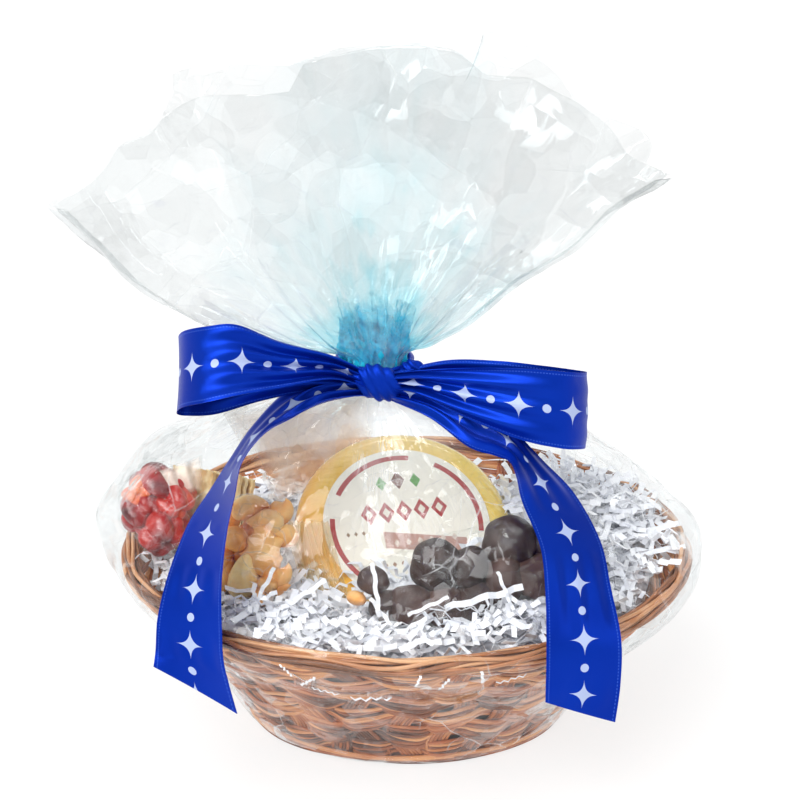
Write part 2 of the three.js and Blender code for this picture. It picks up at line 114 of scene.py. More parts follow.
bpy.ops.object.select_all(action="DESELECT")
bpy.ops.mesh.primitive_plane_add(size=12, location=(0, 0, -0.0003))
table = bpy.context.active_object
table.name = "table"
white, tree = empty_material("white_table")
table_light = {"Base Color": (0.26, 0.26, 0.26, 1), "Roughness": 1.0, "Specular IOR Level": 0.0}
table_light |= {"Emission Color": (1, 1, 1, 1), "Emission Strength": 0.74}
show(tree, node(tree, "BsdfPrincipled", table_light))
table.data.materials.append(white)
table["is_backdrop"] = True

scene = bpy.context.scene
scene.view_settings.view_transform = "Standard"
scene.cycles.transparent_max_bounces = 40
scene.cycles.max_bounces = 10
scene.cycles.sample_clamp_indirect = 6
scene.world = bpy.data.worlds.new("studio")
scene.world.use_nodes = True
tree = scene.world.node_tree
tree.nodes.clear()
ray = node(tree, "LightPath").outputs
direction = node(tree, "TexCoord").outputs["Generated"]
patches = node(tree, "TexNoise", {"Vector": direction, "Scale": 3.4, "Detail": 1.5}).outputs[0]
patchy = node(tree, "MapRange", {0: patches, 1: 0.49, 2: 0.55, 3: 0.3, 4: 1.15}).outputs[0]
strength = node(tree, "Mix", {0: ray["Is Glossy Ray"], 2: SKY, 3: patchy}).outputs[0]
strength = node(tree, "Mix", {0: ray["Is Camera Ray"], 2: strength, 3: BACKDROP}).outputs[0]
sky = node(tree, "Background", {"Color": (1, 1, 1, 1), "Strength": strength})
node(tree, "OutputWorld", {0: sky.outputs[0]})

lamp = bpy.data.lights.new("broad_lamp", "SUN")
lamp.energy = 2.1
lamp.angle = math.radians(40)
holder = bpy.data.objects.new("broad_lamp", lamp)
holder.rotation_euler = (math.radians(34), math.radians(-26), 0)
scene.collection.objects.link(holder)
for number, (place, size, power) in enumerate(GLINT_LAMPS):
    lamp = bpy.data.lights.new(f"glint_lamp_{number}", "AREA")
    lamp.shape = "RECTANGLE"
    lamp.size, lamp.size_y = size
    lamp.energy = power * size[0] * size[1] * 4
    holder = bpy.data.objects.new(lamp.name, lamp)
    holder.location = place
    holder.rotation_euler = (Vector((0, 0, 0.15)) - Vector(place)).to_track_quat("-Z", "Y").to_euler()
    holder.visible_camera = False
    holder.visible_diffuse = False
    scene.collection.objects.link(holder)

camera = bpy.data.objects.new("camera", bpy.data.cameras.new("camera"))
camera.location = CAMERA_PLACE
camera.rotation_euler = (math.radians(CAMERA_PITCH), 0, 0)
camera.data.lens = CAMERA_LENS
scene.collection.objects.link(camera)
scene.camera = camera

# The basket
# Split cane in six rows, each a bundle of nine thin canes that bulges over one stake and dives behind the next.
# A stake is a bundle of six ribs. Long canes laid side by side close the rim, and a flat coil is the floor.

RIM = (0.145, 0.124)  # half length and half width over the border
FOOT = (0.078, 0.056)  # the same at the floor
FLOOR_HEIGHT = 0.0013
WALL_TOP = 0.088
BELLY = 0.0022  # how much fuller the wall is low down
BORDER_OUT = 0.004
LATE_FLARE = 0.2
SLOPE = (0.81, -0.59)  # the wall's normal: out and up
SLANT = 0.107  # the wall's length from floor to border
STAKES = 28
ROWS = 6
CANES_IN_ROW = 9
RIBS_IN_STAKE = 6
SWAY = 0.030  # how far a row rises and falls between stakes, as a share of the wall
BORDER_TWISTS = 2
COIL_RINGS = 13
random = np.random.default_rng(11)


def places_of(piece):
    flat = np.empty(len(piece.data.vertices) * 3)
    piece.data.vertices.foreach_get("co", flat)
    return flat.reshape(-1, 3)


def put_places(piece, places):
    piece.data.vertices.foreach_set("co", np.asarray(places, float).ravel())
    piece.data.update()


def set_tone(piece, tone):
    """A number from 0 to 1 that the material turns into the piece's own shade."""
    attribute = piece.data.attributes.get("tone") or piece.data.attributes.new("tone", "FLOAT", "POINT")
    attribute.data.foreach_set("value", np.full(len(piece.data.vertices), tone, np.float32))


def join(name, pieces):
    bpy.ops.object.select_all(action="DESELECT")
    for piece in pieces:
        piece.select_set(True)
    bpy.context.view_layer.objects.active = pieces[0]
    if len(pieces) > 1:
        bpy.ops.object.join()
    made = bpy.context.active_object
    made.name = made.data.name = name
    return made


def smooth(piece, angle=180):
    bpy.ops.object.select_all(action="DESELECT")
    piece.select_set(True)
    bpy.context.view_layer.objects.active = piece
    bpy.ops.object.shade_smooth_by_angle(angle=math.radians(angle))


def add_modifier(piece, kind, **settings):
    """A modifier is added and applied at once."""
    bpy.context.view_layer.objects.active = piece
    modifier = piece.modifiers.new(kind.lower(), kind)
    for key, value in settings.items():
        setattr(modifier, key, value)
    bpy.ops.object.modifier_apply(modifier=modifier.name)


def dress(piece, material, slot, *nodes):
    """The piece gets its material, rides with the basket and stands for its CAD nodes."""
    piece.data.materials.clear()
    piece.data.materials.append(material)
    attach(piece, "root")
    if nodes:
        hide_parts(*nodes)


def wall(share, turn, out=0.0):
    """A place on the wall: share of its height, turn round it, and how far it stands out of the middle face."""
    spread = (1 - LATE_FLARE) * share + LATE_FLARE * share**3
    belly = BELLY * (1 - share) + SLOPE[0] * out
    reach = [foot + (rim - BORDER_OUT - foot) * spread + belly for rim, foot in zip(RIM, FOOT)]
    height = np.maximum(FLOOR_HEIGHT + (WALL_TOP - FLOOR_HEIGHT) * share + SLOPE[1] * out, 0.0006)
    return np.stack(np.broadcast_arrays(reach[0] * np.cos(turn), reach[1] * np.sin(turn), height), axis=-1)


def ring_of_cane(shape, tone, along=216, around=6):
    """A closed cane. shape(turn, side) gives its skin: turn round the basket, side round the cane."""
    bpy.ops.mesh.primitive_torus_add(
        major_segments=along, minor_segments=around, major_radius=0.1, minor_radius=0.01
    )
    cane = bpy.context.active_object
    at = places_of(cane)
    side = np.arctan2(at[:, 2], np.hypot(at[:, 0], at[:, 1]) - 0.1)
    put_places(cane, shape(np.arctan2(at[:, 1], at[:, 0]), side))
    set_tone(cane, tone)
    return cane


def cane_material(name, dark, middle, light):
    material, tree = empty_material(name)
    around = node(tree, "TexCoord").outputs["UV"]
    tone = node(tree, "Attribute", attribute_name="tone").outputs["Fac"]
    along = node(tree, "SeparateXYZ", {0: around})
    grain_at = node(
        tree,
        "CombineXYZ",
        {
            0: calc(tree, "MULTIPLY", along.outputs[0], 46),
            1: calc(tree, "MULTIPLY", along.outputs[1], 9),
            2: calc(tree, "MULTIPLY", tone, 90),
        },
    ).outputs[0]
    grain = node(tree, "TexNoise", {"Vector": grain_at, "Scale": 1.0, "Detail": 3.0, "Roughness": 0.6}).outputs[0]
    place = node(tree, "TexCoord").outputs["Object"]
    stain = node(tree, "TexNoise", {"Vector": place, "Scale": 26.0, "Detail": 2.0}).outputs[0]
    shade = calc(tree, "ADD", calc(tree, "MULTIPLY", grain, 0.55), calc(tree, "MULTIPLY", tone, 0.62))
    shade = calc(tree, "ADD", shade, calc(tree, "MULTIPLY", calc(tree, "SUBTRACT", stain, 0.5), 0.9))
    ramp = node(tree, "ValToRGB", {0: shade})
    stops = ramp.color_ramp.elements
    stops[0].position, stops[0].color = 0.28, dark
    stops[1].position, stops[1].color = 0.92, light
    stops.new(0.55).color = middle
    ridges = node(tree, "Bump", {"Height": grain, "Strength": 0.6, "Distance": 0.0004})
    shine = node(tree, "MapRange", {0: grain, 1: 0.3, 2: 0.7, 3: 0.5, 4: 0.34}).outputs[0]
    show(
        tree,
        node(
            tree,
            "BsdfPrincipled",
            {"Base Color": ramp.outputs[0], "Roughness": shine, "Normal": ridges.outputs[0]},
        ),
    )
    return material


def waves(turn, strength, counts=(3, 5, 7)):
    """A slow wander round the basket that closes on itself."""
    return strength * sum(np.sin(n * turn + random.uniform(0, 6.28)) for n in counts) / len(counts)


canes = []
for row in range(ROWS):
    for cane in range(CANES_IN_ROW):
        centre = (row + 0.5) / ROWS
        step = (cane - (CANES_IN_ROW - 1) / 2) / CANES_IN_ROW / ROWS
        side_of_row = -1 if row % 2 else 1

        def woven(turn, side):
            front = side_of_row * np.tanh(1.7 * np.cos(STAKES / 2 * turn)) / np.tanh(1.7)
            share = centre + step * (1.16 + 0.18 * front) + waves(turn, 0.010, (13, 17, 23))
            free = math.sin(math.pi * centre)
            share = share + free * (SWAY * np.sin(STAKES / 2 * turn) + waves(turn, 0.014))
            out = -0.0019 + 0.0019 * front + waves(turn, 0.0009, (4, 11, 19))
            return wall(share + 0.00135 / SLANT * np.sin(side), turn, out + 0.0010 * np.cos(side))

        canes.append(ring_of_cane(woven, random.uniform(), along=252))
for cane in range(5):

    def laid(turn, side):
        share = 0.006 + 0.011 * cane + waves(turn, 0.010) + 0.00135 / SLANT * np.sin(side)
        return wall(share, turn, 0.0006 + waves(turn, 0.0006) + 0.0011 * np.cos(side))

    canes.append(ring_of_cane(laid, random.uniform(), along=216))
weave = join("basket_weave", canes)
smooth(weave)
cane_brown = cane_material("stained_cane", paint(96, 54, 34), paint(190, 108, 60), paint(236, 168, 110))
dress(weave, cane_brown, "cane", "basket")

ribs = []
bpy.ops.mesh.primitive_uv_sphere_add(segments=6, ring_count=22)
rib = bpy.context.active_object
at = places_of(rib)
rib_rise = np.arcsin(np.clip(at[:, 2], -1, 1)) / math.pi + 0.5
rib_side = np.arctan2(at[:, 1], at[:, 0])
rib_girth = 0.00105 * (np.hypot(at[:, 0], at[:, 1]) > 0.01)
for stake in range(STAKES):
    for number in range(RIBS_IN_STAKE):
        if ribs:
            bpy.ops.object.duplicate()
            rib = bpy.context.active_object
        turn = stake * 2 * math.pi / STAKES
        radius = np.linalg.norm(wall(rib_rise, turn + 0.01) - wall(rib_rise, turn), axis=1) / 0.01
        lean = 0.0050 * np.sin(rib_rise * 9 + stake)
        off = (number - (RIBS_IN_STAKE - 1) / 2) * 0.0019 + lean + rib_girth * np.sin(rib_side)
        put_places(rib, wall(rib_rise, turn + off / radius, -0.0016 + rib_girth * np.cos(rib_side)))
        set_tone(rib, random.uniform(0.1, 0.6))
        ribs.append(rib)
stakes = join("basket_stakes", ribs)
smooth(stakes)
dress(stakes, cane_brown, "cane", "basket")

canes = []
for ply in range(5):
    for cane in range(3):

        def twisted(turn, side):
            ply_turn = ply * 2 * math.pi / 5 + BORDER_TWISTS * turn + waves(turn, 0.9, (6, 10, 15))
            cane_turn = cane * 2 * math.pi / 3 - 2 * turn + waves(turn, 0.9, (5, 9, 14))
            out = -0.0045 + 0.0027 * np.cos(ply_turn) + 0.0012 * np.cos(cane_turn) + 0.0011 * np.cos(side)
            up = 0.0927 + 0.0030 * np.sin(ply_turn) + 0.0012 * np.sin(cane_turn) + 0.0011 * np.sin(side)
            return np.stack([(RIM[0] + out) * np.cos(turn), (RIM[1] + out) * np.sin(turn), up], axis=-1)

        canes.append(ring_of_cane(twisted, random.uniform(), along=360))
border = join("basket_border", canes)
smooth(border)
cane_orange = cane_material("border_cane", paint(108, 66, 42), paint(182, 116, 72), paint(226, 176, 132))
dress(border, cane_orange, "cane", "basket")

canes = []
for ring in range(COIL_RINGS):

    def coiled(turn, side):
        reach = (ring + 0.55 + 0.48 * np.cos(side)) / COIL_RINGS
        rise = 0.0036 + 0.002 * np.sin(side)
        return np.stack([FOOT[0] * reach * np.cos(turn), FOOT[1] * reach * np.sin(turn), rise], axis=-1)

    canes.append(ring_of_cane(coiled, random.uniform(), along=96))
coil = join("basket_floor", canes)
smooth(coil)
dress(coil, cane_brown, "cane", "basket")

# The crinkled paper
# White paper cut into strips 3 mm wide and folded to and fro, heaped in the basket round everything else. The heap
# is a core whose rough skin is painted grey, and brown low down, as painted shade between the strips and behind
# the cane, under more than a thousand loose strips.

STRIP_WIDTH = 0.0027
STRIPS = 1450
INNER = -0.0075  # where the paper starts inside the wall's middle face


def heap_top(x, y):
    """The height of the paper over a place in the basket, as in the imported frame."""

    def rise(cx, cy, spread, high):
        return high * np.exp(-((x - cx) ** 2 + (y - cy) ** 2) / spread**2)

    hills = rise(0.088, 0.010, 0.038, 0.034) + rise(-0.060, -0.076, 0.032, 0.010) + rise(0.048, -0.092, 0.026, 0.012)
    hollows = rise(0.020, 0.092, 0.046, 0.012) + rise(-0.036, -0.054, 0.019, 0.013)
    return 0.085 + hills + rise(0.012, -0.104, 0.038, 0.007) - hollows


bpy.ops.object.select_all(action="DESELECT")
bpy.ops.mesh.primitive_uv_sphere_add(segments=96, ring_count=64)
core = bpy.context.active_object
at = places_of(core)
turn = np.arctan2(at[:, 1], at[:, 0])
down = np.arccos(np.clip(at[:, 2], -1, 1)) / (math.pi / 2)
rim = wall(0.88, turn, INNER)
top = rim * np.minimum(down, 1)[:, None]
bumps = 0.0014 * np.sin(top[:, 0] * 410 + 2 * np.sin(top[:, 1] * 230)) * np.sin(top[:, 1] * 370 + 1)
top[:, 2] = heap_top(top[:, 0], top[:, 1]) - 0.0045 - 0.003 * np.minimum(down, 1) ** 6 + bumps * (down < 0.95)
low = np.clip((down - 1) / 0.7, 0, 1)
side_places = wall(0.88 * (1 - low), turn, INNER)
shrink = 1 - np.clip((down - 1.7) / 0.3, 0, 1)
side_places[:, :2] *= shrink[:, None]
side_places[:, 2] = np.maximum(side_places[:, 2] - 0.004 * (1 - low), 0.0088)
put_places(core, np.where((down <= 1.0001)[:, None], top, side_places))
core.name = core.data.name = "paper_core"
smooth(core)
painted_shade_paper, tree = empty_material("paper_in_shade")
# Painted shade: the core's skin is a grey that varies across fold cells, standing for the shade in the gaps between
# strips, and turns brown low down where it lies in the shade behind the cane.
place = node(tree, "TexCoord").outputs["Object"]
folds = node(tree, "TexVoronoi", {"Vector": place, "Scale": 190.0}).outputs[0]
grey = node(tree, "ValToRGB", {0: folds})
grey.color_ramp.elements[0].color = paint(180, 182, 194)
grey.color_ramp.elements[1].color = paint(244, 246, 252)
height = node(tree, "SeparateXYZ", {0: place}).outputs[2]
cane_shade_mask = node(tree, "MapRange", {0: height, 1: 0.068, 2: 0.077, 3: 1.0, 4: 0.0}).outputs[0]
shaded = blend_colours(tree, cane_shade_mask, grey.outputs[0], paint(92, 66, 56))
bump = node(tree, "Bump", {"Height": folds, "Strength": 1.0, "Distance": 0.003})
show(tree, node(tree, "BsdfPrincipled", {"Base Color": shaded, "Roughness": 0.9, "Normal": bump.outputs[0]}))
dress(core, painted_shade_paper, "shred", "paper_shred")


def crinkled_strip(name, folds, pitch, rise, curl):
    """One strip lying along X: a plane folded to and fro, with real thickness."""
    bpy.ops.object.select_all(action="DESELECT")
    bpy.ops.mesh.primitive_grid_add(x_subdivisions=folds, y_subdivisions=1, size=1)
    strip = bpy.context.active_object
    strip.name = strip.data.name = name
    at = places_of(strip)
    step = np.round((at[:, 0] + 0.5) * folds)
    across = at[:, 1] * STRIP_WIDTH
    zigzag = np.where(step % 2 == 0, -1, 1) * rise * (1 + 0.35 * np.sin(step * 2.3))
    x = (step - folds / 2) * pitch
    put_places(strip, np.stack([x, across + 0.0006 * np.sin(step * 1.7), zigzag - curl * x**2], axis=-1))
    add_modifier(strip, "SOLIDIFY", thickness=0.00016, offset=0)
    return strip


def scatter(name, pattern, frames, tones):
    """Copies of one small mesh at many places, joined into one piece."""
    shape = places_of(pattern)
    faces = [tuple(face.vertices) for face in pattern.data.polygons]
    corners = np.concatenate([shape @ np.array(f.to_3x3()).T + np.array(f.translation) for f in frames])
    all_faces = [tuple(v + i * len(shape) for v in face) for i in range(len(frames)) for face in faces]
    mesh = bpy.data.meshes.new(name)
    mesh.from_pydata(corners.tolist(), [], all_faces)
    mesh.attributes.new("tone", "FLOAT", "POINT").data.foreach_set("value", np.repeat(tones, len(shape)).astype(np.float32))
    made = bpy.data.objects.new(name, mesh)
    scene.collection.objects.link(made)
    bpy.data.objects.remove(pattern)
    return made


# Where the food lies. Each entry is a place and its reach, and no strip of paper is laid inside it.
WHEEL_RADIUS = 0.056
WHEEL_THICKNESS = 0.041
LEAN, TURN = math.radians(53), math.radians(14)
FACE_NORMAL = Vector((math.sin(TURN) * math.cos(LEAN), -math.cos(TURN) * math.cos(LEAN), math.sin(LEAN)))
FACE = Vector((0, -0.002, 0.106))
CHOCOLATES = [
    ((0.0145, -0.060, 0.1140), 0.0145),
    ((-0.0165, -0.066, 0.1095), 0.0072),
    ((0.0300, -0.063, 0.1150), 0.0105),
    ((0.0500, -0.052, 0.1230), 0.0140),
    ((0.0475, -0.062, 0.1080), 0.0115),
    ((0.0640, -0.060, 0.1090), 0.0125),
    ((0.0680, -0.046, 0.1180), 0.0125),
    ((0.0020, -0.074, 0.1000), 0.0110),
    ((0.0180, -0.072, 0.0980), 0.0100),
    ((0.0330, -0.068, 0.0990), 0.0110),
    ((-0.0100, -0.070, 0.0970), 0.0090),
]
NUT_HEAP = ((-0.077, -0.038, 0.110), (0.023, 0.020, 0.029))
FRUIT_HEAP = ((-0.122, -0.002, 0.116), (0.027, 0.027, 0.022))
CRACKER_HEAP = ((-0.099, 0.025, 0.102), (0.030, 0.030, 0.030))


def clear_of_food(p):
    out = (p - FACE).dot(FACE_NORMAL)
    radial = (p - FACE - out * FACE_NORMAL).length
    if -WHEEL_THICKNESS - 0.002 < out < 0.0025 and radial < WHEEL_RADIUS + 0.002:
        return False
    if any((p - Vector(place)).length < radius + 0.003 for place, radius in CHOCOLATES):
        return False
    for place, reach in (NUT_HEAP, FRUIT_HEAP, CRACKER_HEAP):
        if sum(((p[i] - place[i]) / reach[i]) ** 2 for i in range(3)) < 1:
            return False
    return True


def inside_rim(p):
    """Whether a place is inside the basket's wall, or just above its border."""
    far = [math.hypot(p.x / a, p.y / b) for a, b in ((0.1335, 0.1125), (0.142, 0.121))]
    return far[0] < 1 or (p.z > 0.0965 and far[1] < 1)


def paper_frames(count, lift, reach, seed, half):
    """Places and turns for strips over the heap, more or less flat on it. half is half a strip's length."""
    chance = np.random.default_rng(seed)
    frames = []
    while len(frames) < count:
        turn, far = chance.uniform(0, 2 * math.pi), math.sqrt(chance.uniform())
        x, y = reach * 0.1345 * far * math.cos(turn), reach * 0.1135 * far * math.sin(turn)
        z = float(heap_top(x, y)) + chance.uniform(*lift) - 0.004 * far**8
        p = Vector((x, y, z))
        spin, tilt, roll = chance.uniform(0, 2 * math.pi), chance.normal(0, 0.30), chance.normal(0, 0.65)
        size = chance.uniform(0.8, 1.25)
        turned = Matrix.Rotation(spin, 4, "Z") @ Matrix.Rotation(tilt, 4, "Y") @ Matrix.Rotation(roll, 4, "X")
        arm = turned @ Vector((half * size, 0, 0))
        if not clear_of_food(p) or not inside_rim(p + arm) or not inside_rim(p - arm):
            continue
        frames.append(Matrix.Translation(p) @ turned @ Matrix.Scale(size, 4))
    return frames


white_paper, tree = empty_material("crinkled_paper")
place = node(tree, "TexCoord").outputs["Object"]
tone = node(tree, "Attribute", attribute_name="tone").outputs["Fac"]
fibre = node(tree, "TexNoise", {"Vector": place, "Scale": 900.0, "Detail": 2.0}).outputs[0]
tint = node(tree, "ValToRGB", {0: calc(tree, "ADD", calc(tree, "MULTIPLY", tone, 0.8), calc(tree, "MULTIPLY", fibre, 0.2))})
tint.color_ramp.elements[0].color = paint(242, 244, 251)
tint.color_ramp.elements[1].color = paint(253, 253, 255)
bump = node(tree, "Bump", {"Height": fibre, "Strength": 0.25, "Distance": 0.0002})
show(tree, node(tree, "BsdfPrincipled", {"Base Color": tint.outputs[0], "Roughness": 0.7, "Normal": bump.outputs[0]}))
kinds = [(9, 0.0044, 0.0012, 5), (12, 0.0035, 0.0013, -4), (7, 0.0060, 0.0011, 7), (10, 0.0038, 0.0016, 3)]
for number, (folds, pitch, rise, curl) in enumerate(kinds):
    pattern = crinkled_strip(f"strip_{number}", folds, pitch, rise, curl)
    frames = paper_frames(STRIPS // len(kinds), (-0.003, 0.0085), 0.96, 20 + number, folds * pitch / 2)
    tones = np.random.default_rng(number).uniform(0, 1, len(frames))
    strips = scatter(f"paper_strips_{number + 1}", pattern, frames, tones)
    dress(strips, white_paper, "shred", "paper_shred")

LOOSE_STRIPS = [  # on the wall's outer face: share of its height, turn and spin in degrees
    (0.90, 249.5, 50, 0.55),
    (0.80, 252.0, -20, 0.50),
    (0.76, 262.0, 8, 0.75),
    (0.95, 277.0, 70, 0.50),
    (0.93, 291.0, 15, 0.55),
    (1.02, 272.0, 80, 0.45),
    (1.02, 284.0, 100, 0.50),
    (1.02, 247.0, 110, 0.45),
]
pattern = crinkled_strip("strip_outside", 8, 0.0034, 0.0010, 2)
frames = []
for share, angle, spin, size in LOOSE_STRIPS:
    angle = math.radians(angle)
    place, beside = Vector(wall(share, angle, 0.0036)), Vector(wall(share, angle + 0.01, 0.0036))
    out = Vector(wall(share, angle, 0.0046)) - place
    tangent = (beside - place).normalized()
    facing = Matrix((tangent, out.normalized().cross(tangent), out.normalized())).transposed().to_4x4()
    frames.append(Matrix.Translation(place) @ facing @ Matrix.Rotation(math.radians(spin), 4, "Z") @ Matrix.Scale(size, 4))
outside = scatter("paper_strips_outside", pattern, frames, np.linspace(0.4, 1, len(frames)))
dress(outside, white_paper, "shred", "paper_shred")

FRONT_STRIPS = [  # long strips that stand against the chocolates: centre in mm, spin in degrees, size
    ((36.8, -83, 109.4), 15, 1.20),
    ((47.0, -82, 112.5), -68, 0.62),
    ((-15.0, -80, 112.0), 97, 0.80),
    ((-11.0, -84, 99.5), -52, 0.70),
    ((10.0, -87, 107.0), 24, 0.66),
    ((56.4, -84, 105.5), -32, 0.80),
    ((-27.6, -66, 97.0), -22, 0.90),
    ((-51.0, -76, 106.5), 33, 0.85),
    ((-70.0, -70, 106.5), 62, 0.75),
]
pattern = crinkled_strip("strip_front", 9, 0.0036, 0.0010, 5)
frames = []
for place, spin, size in FRONT_STRIPS:
    facing = Matrix.Rotation(math.radians(58), 4, "X") @ Matrix.Rotation(math.radians(spin), 4, "Z")
    frames.append(Matrix.Translation(Vector(place) / 1000) @ facing @ Matrix.Scale(size, 4))
front_strips = scatter("paper_strips_front", pattern, frames, np.linspace(0.5, 1, len(frames)))
dress(front_strips, white_paper, "shred", "paper_shred")

# The wheel of cheese
# A round of yellow cheese 112 mm across, leaning back in the paper in its own tight clear film, with a printed
# paper label on its upper face. The film's seal stands off as a pleated fin at the lower left.

wheel_place = FACE - 0.5 * WHEEL_THICKNESS * FACE_NORMAL
wheel_turn = FACE_NORMAL.to_track_quat("Z", "Y").to_euler()


def mottle_group():
    """Uneven shade and fine relief, as on baked, roasted or dried food."""
    group = bpy.data.node_groups.new("food_mottle", "ShaderNodeTree")
    for name, kind in (("Vector", "NodeSocketVector"), ("Scale", "NodeSocketFloat")):
        group.interface.new_socket(name, in_out="INPUT", socket_type=kind)
    for name in ("Shade", "Height"):
        group.interface.new_socket(name, in_out="OUTPUT", socket_type="NodeSocketFloat")
    given = group.nodes.new("NodeGroupInput")
    broad = node(group, "TexNoise", {"Vector": given.outputs[0], "Scale": given.outputs[1], "Detail": 4.0}).outputs[0]
    finer = calc(group, "MULTIPLY", given.outputs[1], 5)
    fine = node(group, "TexNoise", {"Vector": given.outputs[0], "Scale": finer, "Detail": 3.0}).outputs[0]
    result = group.nodes.new("NodeGroupOutput")
    group.links.new(node(group, "MapRange", {0: broad, 1: 0.3, 2: 0.7}).outputs[0], result.inputs[0])
    group.links.new(calc(group, "ADD", broad, calc(group, "MULTIPLY", fine, 0.3)), result.inputs[1])
    return group


MOTTLE = mottle_group()


def mottle(tree, scale):
    made = node(tree, "Group", node_tree=MOTTLE)
    tree.links.new(node(tree, "TexCoord").outputs["Object"], made.inputs[0])
    made.inputs[1].default_value = scale
    return made.outputs


def food_material(name, colours, scale, roughness, relief, coat=0.0, spread=0.5):
    """Food in two or three colours, mottled, with each piece's own tone."""
    material, tree = empty_material(name)
    shade, height = mottle(tree, scale)
    tone = node(tree, "Attribute", attribute_name="tone").outputs["Fac"]
    mixed = calc(tree, "ADD", calc(tree, "MULTIPLY", shade, 1 - spread), calc(tree, "MULTIPLY", tone, spread))
    ramp = node(tree, "ValToRGB", {0: mixed})
    stops = ramp.color_ramp.elements
    stops[0].position, stops[0].color = 0.15, colours[0]
    stops[1].position, stops[1].color = 0.85, colours[-1]
    for number, colour in enumerate(colours[1:-1]):
        stops.new((number + 1) / (len(colours) - 1)).color = colour
    bump = node(tree, "Bump", {"Height": height, "Strength": 0.7, "Distance": relief})
    sockets = {
        "Base Color": ramp.outputs[0],
        "Roughness": roughness,
        "Coat Weight": coat,
        "Coat Roughness": 0.08,
        "Normal": bump.outputs[0],
    }
    show(tree, node(tree, "BsdfPrincipled", sockets))
    return material


def finish_place(piece):
    """The piece's place goes into its mesh, so that its object sits at the origin, unturned."""
    bpy.ops.object.select_all(action="DESELECT")
    piece.select_set(True)
    bpy.context.view_layer.objects.active = piece
    bpy.ops.object.transform_apply(location=True, rotation=True, scale=True)


bpy.ops.object.select_all(action="DESELECT")
bpy.ops.mesh.primitive_cylinder_add(
    vertices=112, radius=WHEEL_RADIUS, depth=WHEEL_THICKNESS, location=wheel_place, rotation=wheel_turn
)
cheese = bpy.context.active_object
cheese.name = cheese.data.name = "cheese_wheel_round"
finish_place(cheese)
add_modifier(cheese, "BEVEL", width=0.010, segments=7, limit_method="ANGLE", angle_limit=math.radians(50))
smooth(cheese, 40)
yellow, tree = empty_material("cheese_in_film")
at_wheel = node(
    tree,
    "Mapping",
    {0: node(tree, "TexCoord").outputs["Object"], 1: FACE, 2: wheel_turn},
    vector_type="TEXTURE",
).outputs[0]
around = node(tree, "SeparateXYZ", {0: at_wheel})
# Painted shade: the wheel turns darker orange towards its left, where its side wall is in shade; the noise adds uneven
# tone.
depth = node(tree, "MapRange", {0: around.outputs[0], 1: -0.060, 2: 0.045}).outputs[0]
shade = node(tree, "TexNoise", {"Vector": at_wheel, "Scale": 24.0, "Detail": 2.0}).outputs[0]
left_shade_and_tone = calc(tree, "ADD", calc(tree, "MULTIPLY", depth, 0.8), calc(tree, "MULTIPLY", calc(tree, "SUBTRACT", shade, 0.4), 0.6))
ramp = node(tree, "ValToRGB", {0: left_shade_and_tone})
ramp.color_ramp.elements[0].color = paint(252, 166, 6)
ramp.color_ramp.elements[1].color = paint(254, 222, 112)
ramp.color_ramp.elements.new(0.35).color = paint(254, 200, 48)
stretched = node(tree, "Mapping", {0: at_wheel, 2: (0, 0, 0.5), 3: (90, 260, 140)}).outputs[0]
creases = node(tree, "TexNoise", {"Vector": stretched, "Scale": 1.0, "Detail": 2.0, "Distortion": 0.6}).outputs[0]
bump = node(tree, "Bump", {"Height": creases, "Strength": 0.8, "Distance": 0.0012})
show(
    tree,
    node(
        tree,
        "BsdfPrincipled",
        {
            "Base Color": ramp.outputs[0],
            "Roughness": 0.35,
            "Subsurface Weight": 0.15,
            "Subsurface Radius": (0.006, 0.004, 0.001),
            "Coat Weight": 0.9,
            "Coat Roughness": 0.06,
            "Normal": bump.outputs[0],
        },
    ),
)
dress(cheese, yellow, "cheese", "cheese_wheel")

LABEL_RADIUS = 0.043
bpy.ops.object.select_all(action="DESELECT")
bpy.ops.mesh.primitive_cylinder_add(
    vertices=112,
    radius=LABEL_RADIUS,
    depth=0.0004,
    location=FACE + 0.00065 * FACE_NORMAL,
    rotation=wheel_turn,
)
label = bpy.context.active_object
label.name = label.data.name = "cheese_label_disc"
finish_place(label)
add_modifier(label, "BEVEL", width=0.00012, segments=2, limit_method="ANGLE")
smooth(label, 40)
printed, tree = empty_material("printed_label")
at_label = node(
    tree,
    "Mapping",
    {0: node(tree, "TexCoord").outputs["Object"], 1: FACE, 2: wheel_turn},
    vector_type="TEXTURE",
).outputs[0]
place = node(tree, "SeparateXYZ", {0: at_label})
x, y = (calc(tree, "MULTIPLY", place.outputs[i], 1000) for i in (0, 1))
radius = calc(tree, "SQRT", calc(tree, "ADD", calc(tree, "MULTIPLY", x, x), calc(tree, "MULTIPLY", y, y)))
angle = calc(tree, "ARCTAN2", y, x)


def all_of(*masks):
    made = masks[0]
    for mask in masks[1:]:
        made = calc(tree, "MULTIPLY", made, mask)
    return made


def diamonds(cx, cy, pitch, count, size):
    """A row of upright diamonds centred on a place."""
    along = calc(tree, "SUBTRACT", x, cx)
    cell = calc(tree, "SUBTRACT", calc(tree, "FLOORED_MODULO", calc(tree, "ADD", along, pitch * count / 2), pitch), pitch / 2)
    high = calc(tree, "MULTIPLY", calc(tree, "ABSOLUTE", calc(tree, "SUBTRACT", y, cy)), 0.7)
    near = calc(tree, "LESS_THAN", calc(tree, "ADD", calc(tree, "ABSOLUTE", cell), high), size)
    return all_of(near, calc(tree, "COMPARE", along, 0, pitch * count / 2))


